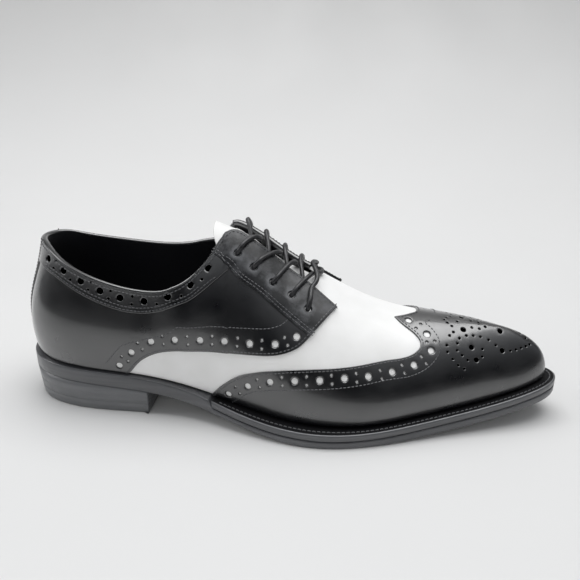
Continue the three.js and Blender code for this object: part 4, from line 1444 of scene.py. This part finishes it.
def laces():
    for i in range(len(EYELETS) - 1):
        parts = [braided(curve_through(strand(i), STRAND_POINTS), LACE_RADIUS)
                 for strand in (near_strand, far_strand)]
        points, faces, normals = joined(parts)
        piece(f"lace_strands_{i + 1}", points, faces, CORD, normals, [f"lace_crossing_{i + 1}"], "lace_black")
    along, up = EYELETS[-1]
    edge = facing_up(along)
    line_points = []
    for side in (LATERAL, MEDIAL):
        ups = (up, up, up + 0.25 * (edge - up), up + 0.8 * (edge - up), up + 0.5 * (1 - up))
        lifts = (EYELET_IN, EYELET_OUT, OVER + 0.5, OVER + 0.1, OVER + BAR_RAISE[side])
        half = [spot(side * (along + bow), w, lift) for bow, w, lift in zip(BAR_BOW[side], ups, lifts)]
        peak = ridge_middle(along + BAR_MIDDLE, OVER + BAR_RAISE[LATERAL])
        line_points += half if side == LATERAL else [peak] + half[::-1]
    points, faces, normals = braided(curve_through(line_points, BAR_POINTS), LACE_RADIUS)
    piece("lace_lowest_bar", points, faces, CORD, normals, ["lace_bar"], "lace_black")


# Rows of stitches
EDGE_ROW = 1.3
SEAM_ROWS = (1.2, 2.9)
WELT_ROW = 0.6
WELT_PITCH = 2.6
WELT_STITCH = (2.1, 0.75)


def welt_stitches():
    """Threads along the top of the welt."""
    dense = feather_places(WELT_START + 0.01, 1.99 - WELT_START, 900)
    spot = outline_point(dense, WELT_ROW * sole_edge_out(dense))
    points = np.column_stack([spot, sole_top(spot[:, 0]) + 0.05])
    travel = travelled(points)
    at = np.arange(0, travel[-1], WELT_PITCH)
    points = np.stack([np.interp(at, travel, points[:, k]) for k in range(3)], -1)
    return threads(points, np.tile([0.0, 0.0, 1.0], (len(points), 1)), *WELT_STITCH)


def stitch_rows():
    rows = {name: [] for name in ("cap", "quarter", "eyestay", "band", "backstay")}
    for side in (LATERAL, MEDIAL):
        edge = cap_line(side)
        for out in (EDGE_ROW, CAP_STRIP):
            rows["cap"] += stitches(beside(edge, side * out), PANEL_LIFT)
        seam = line(QUARTER_EDGE[:13], side)
        for out in (EDGE_ROW, QUARTER_STRIP):
            rows["quarter"] += stitches(beside(seam, -side * out), PANEL_LIFT)
        for out in SEAM_ROWS:
            rows["eyestay"] += stitches(beside(line(EYESTAY_SEAM, side), -side * out), EYESTAY_LIFT)
            rows["band"] += stitches(beside(line(BAND_EDGE[1:-1], side), -side * out), BAND_LIFT)
        rows["eyestay"] += stitches(beside(line(QUARTER_EDGE[12:], side), -side * EDGE_ROW), EYESTAY_LIFT)
        rows["eyestay"] += stitches(beside(line(FACING, side), side * EDGE_ROW), EYESTAY_LIFT)
        top = np.concatenate([level_path(side * 0.06, side * 0.33, 1), line(TOPLINE[1:], side)[1:]])
        rows["band"] += stitches(beside(top, side * (EDGE_ROW + 0.5)), BAND_LIFT)
        rows["backstay"] += stitches(beside(line(BACKSTAY_EDGE, side), -side * EDGE_ROW), BACKSTAY_LIFT)
    for name, parts in rows.items():
        points, faces, normals = joined(parts)
        piece(f"stitches_{name}", points, faces, BLACK_THREAD, normals,
              slot="grey_leather" if name == "eyestay" else "black_leather")
    points, faces, normals = joined(welt_stitches())
    piece("stitches_welt", points, faces, BLACK_THREAD, normals, slot="sole_black")


# Stage, in metres
FLOOR_FRONT = -1.2
FLOOR_BACK = 0.35
FLOOR_SIDE = 3.0
BEND_RADIUS = 0.5
BEND_STEPS = 12
BACKDROP_TOP = 2.2


def stage():
    rows = []
    depth = [(FLOOR_FRONT, 0.0), (FLOOR_BACK, 0.0)]
    for step in range(1, BEND_STEPS + 1):
        angle = math.pi / 2 * step / BEND_STEPS
        depth.append((FLOOR_BACK + BEND_RADIUS * math.sin(angle), BEND_RADIUS * (1 - math.cos(angle))))
    depth.append((FLOOR_BACK + BEND_RADIUS, BACKDROP_TOP))
    for x in (-FLOOR_SIDE, FLOOR_SIDE):
        rows += [(x, y, z) for y, z in depth]
    mesh = bpy.data.meshes.new("floor_and_backdrop")
    count = len(depth)
    mesh.from_pydata(rows, [], [(i, i + 1, count + i + 1, count + i) for i in range(count - 1)])
    mesh.shade_smooth()
    floor = material("pale_floor_shaded_backdrop", (0.58, 0.58, 0.585), 0.6)
    height = add_node(floor, "ShaderNodeSeparateXYZ")
    link(floor, add_node(floor, "ShaderNodeTexCoord").outputs["Object"], height.inputs["Vector"])
    # Painted shade: the paper's colour darkens from the floor up the backdrop, where less light falls
    vary_colour(floor, height.outputs["Z"], (0.65, 0.65, 0.648), (0.36, 0.36, 0.358), 0.0, 0.4)
    vary_roughness(floor, noise(floor, 8, 2), 0.5, 0.7)
    mesh.materials.append(floor)
    thing = bpy.data.objects.new("floor_and_backdrop", mesh)
    bpy.context.scene.collection.objects.link(thing)


def light(name, place, target, size, power, reflected):
    lamp = bpy.data.lights.new(name, "AREA")
    lamp.shape = "RECTANGLE"
    lamp.size, lamp.size_y = size
    lamp.energy = power
    thing = bpy.data.objects.new(name, lamp)
    thing.location = place
    thing.visible_glossy = reflected
    way = Vector(target) - Vector(place)
    thing.rotation_euler = way.to_track_quat("-Z", "Y").to_euler()
    bpy.context.scene.collection.objects.link(thing)


ROOM_LEAN = (0.0, 0.5, 0.85)
ROOM_RANGE = (-0.1, 0.8, 0.008, 0.5)
ROOM_SEEN = 0.6
# Lights: name, place, aim, size, power, and whether the polish shows it
LIGHTS = [
    ("overhead_panel", (0.15, 0.25, 1.3), (0.1, 0.02, 0), (1.5, 1.1), 19, True),
    ("left_panel", (-1.3, -0.1, 0.8), (0.05, 0, 0.05), (0.7, 0.7), 5, True),
    ("front_fill", (0.1, -1.2, 0.55), (0.1, 0, 0.04), (1.2, 0.7), 4, False),
]


def studio():
    """Pale room with a dark side toward the camera, which the polish shows as dark bands."""
    world = bpy.data.worlds.new("studio")
    world.use_nodes = True
    tree = world.node_tree
    shade = tree.nodes["Background"]
    shade.inputs["Color"].default_value = (0.93, 0.96, 1.0, 1)
    way = tree.nodes.new("ShaderNodeTexCoord")
    lean = tree.nodes.new("ShaderNodeVectorMath")
    lean.operation = "DOT_PRODUCT"
    lean.inputs[1].default_value = ROOM_LEAN
    tree.links.new(way.outputs["Generated"], lean.inputs[0])
    room = tree.nodes.new("ShaderNodeMapRange")
    for socket, number in zip(("From Min", "From Max", "To Min", "To Max"), ROOM_RANGE):
        room.inputs[socket].default_value = number
    tree.links.new(lean.outputs["Value"], room.inputs["Value"])
    seen = tree.nodes.new("ShaderNodeLightPath")
    mix = tree.nodes.new("ShaderNodeMix")
    tree.links.new(seen.outputs["Is Camera Ray"], mix.inputs["Factor"])
    tree.links.new(room.outputs["Result"], mix.inputs["A"])
    mix.inputs["B"].default_value = ROOM_SEEN
    tree.links.new(mix.outputs["Result"], shade.inputs["Strength"])
    bpy.context.scene.world = world
    bpy.context.scene.view_settings.view_transform = "Standard"
    for values in LIGHTS:
        light(*values)


def camera():
    yaw, rise = math.radians(CAMERA_YAW), math.radians(CAMERA_ELEVATION)
    back = Vector((math.sin(yaw) * math.cos(rise), -math.cos(yaw) * math.cos(rise), math.sin(rise)))
    right = (-back).cross(Vector((0, 0, 1))).normalized()
    up = right.cross(-back)
    roll = math.radians(CAMERA_ROLL)
    across = right * math.cos(roll) + up * math.sin(roll)
    above = up * math.cos(roll) - right * math.sin(roll)
    data = bpy.data.cameras.new("photo_camera")
    data.sensor_width = SENSOR
    data.lens = PHOTO_FOCUS / PHOTO_SIZE * SENSOR
    data.shift_x = -PHOTO_CENTRE[0] / PHOTO_SIZE
    data.shift_y = PHOTO_CENTRE[1] / PHOTO_SIZE
    data.clip_start = 0.01
    thing = bpy.data.objects.new("photo_camera", data)
    place = (Vector(CAMERA_TARGET) + back * CAMERA_DISTANCE) * MM
    thing.matrix_world = Matrix.Translation(place) @ Matrix((across, above, back)).transposed().to_4x4()
    bpy.context.scene.collection.objects.link(thing)
    bpy.context.scene.camera = thing


camera()
studio()
stage()
vamp()
cap()
for side_name, side_sign in SIDES.items():
    quarter(side_name, side_sign)
    eyestay(side_name, side_sign)
    collar_band(side_name, side_sign)
backstay()
lining()
tongue()
outsole()
welt()
heel()
insole()
laces()
stitch_rows()
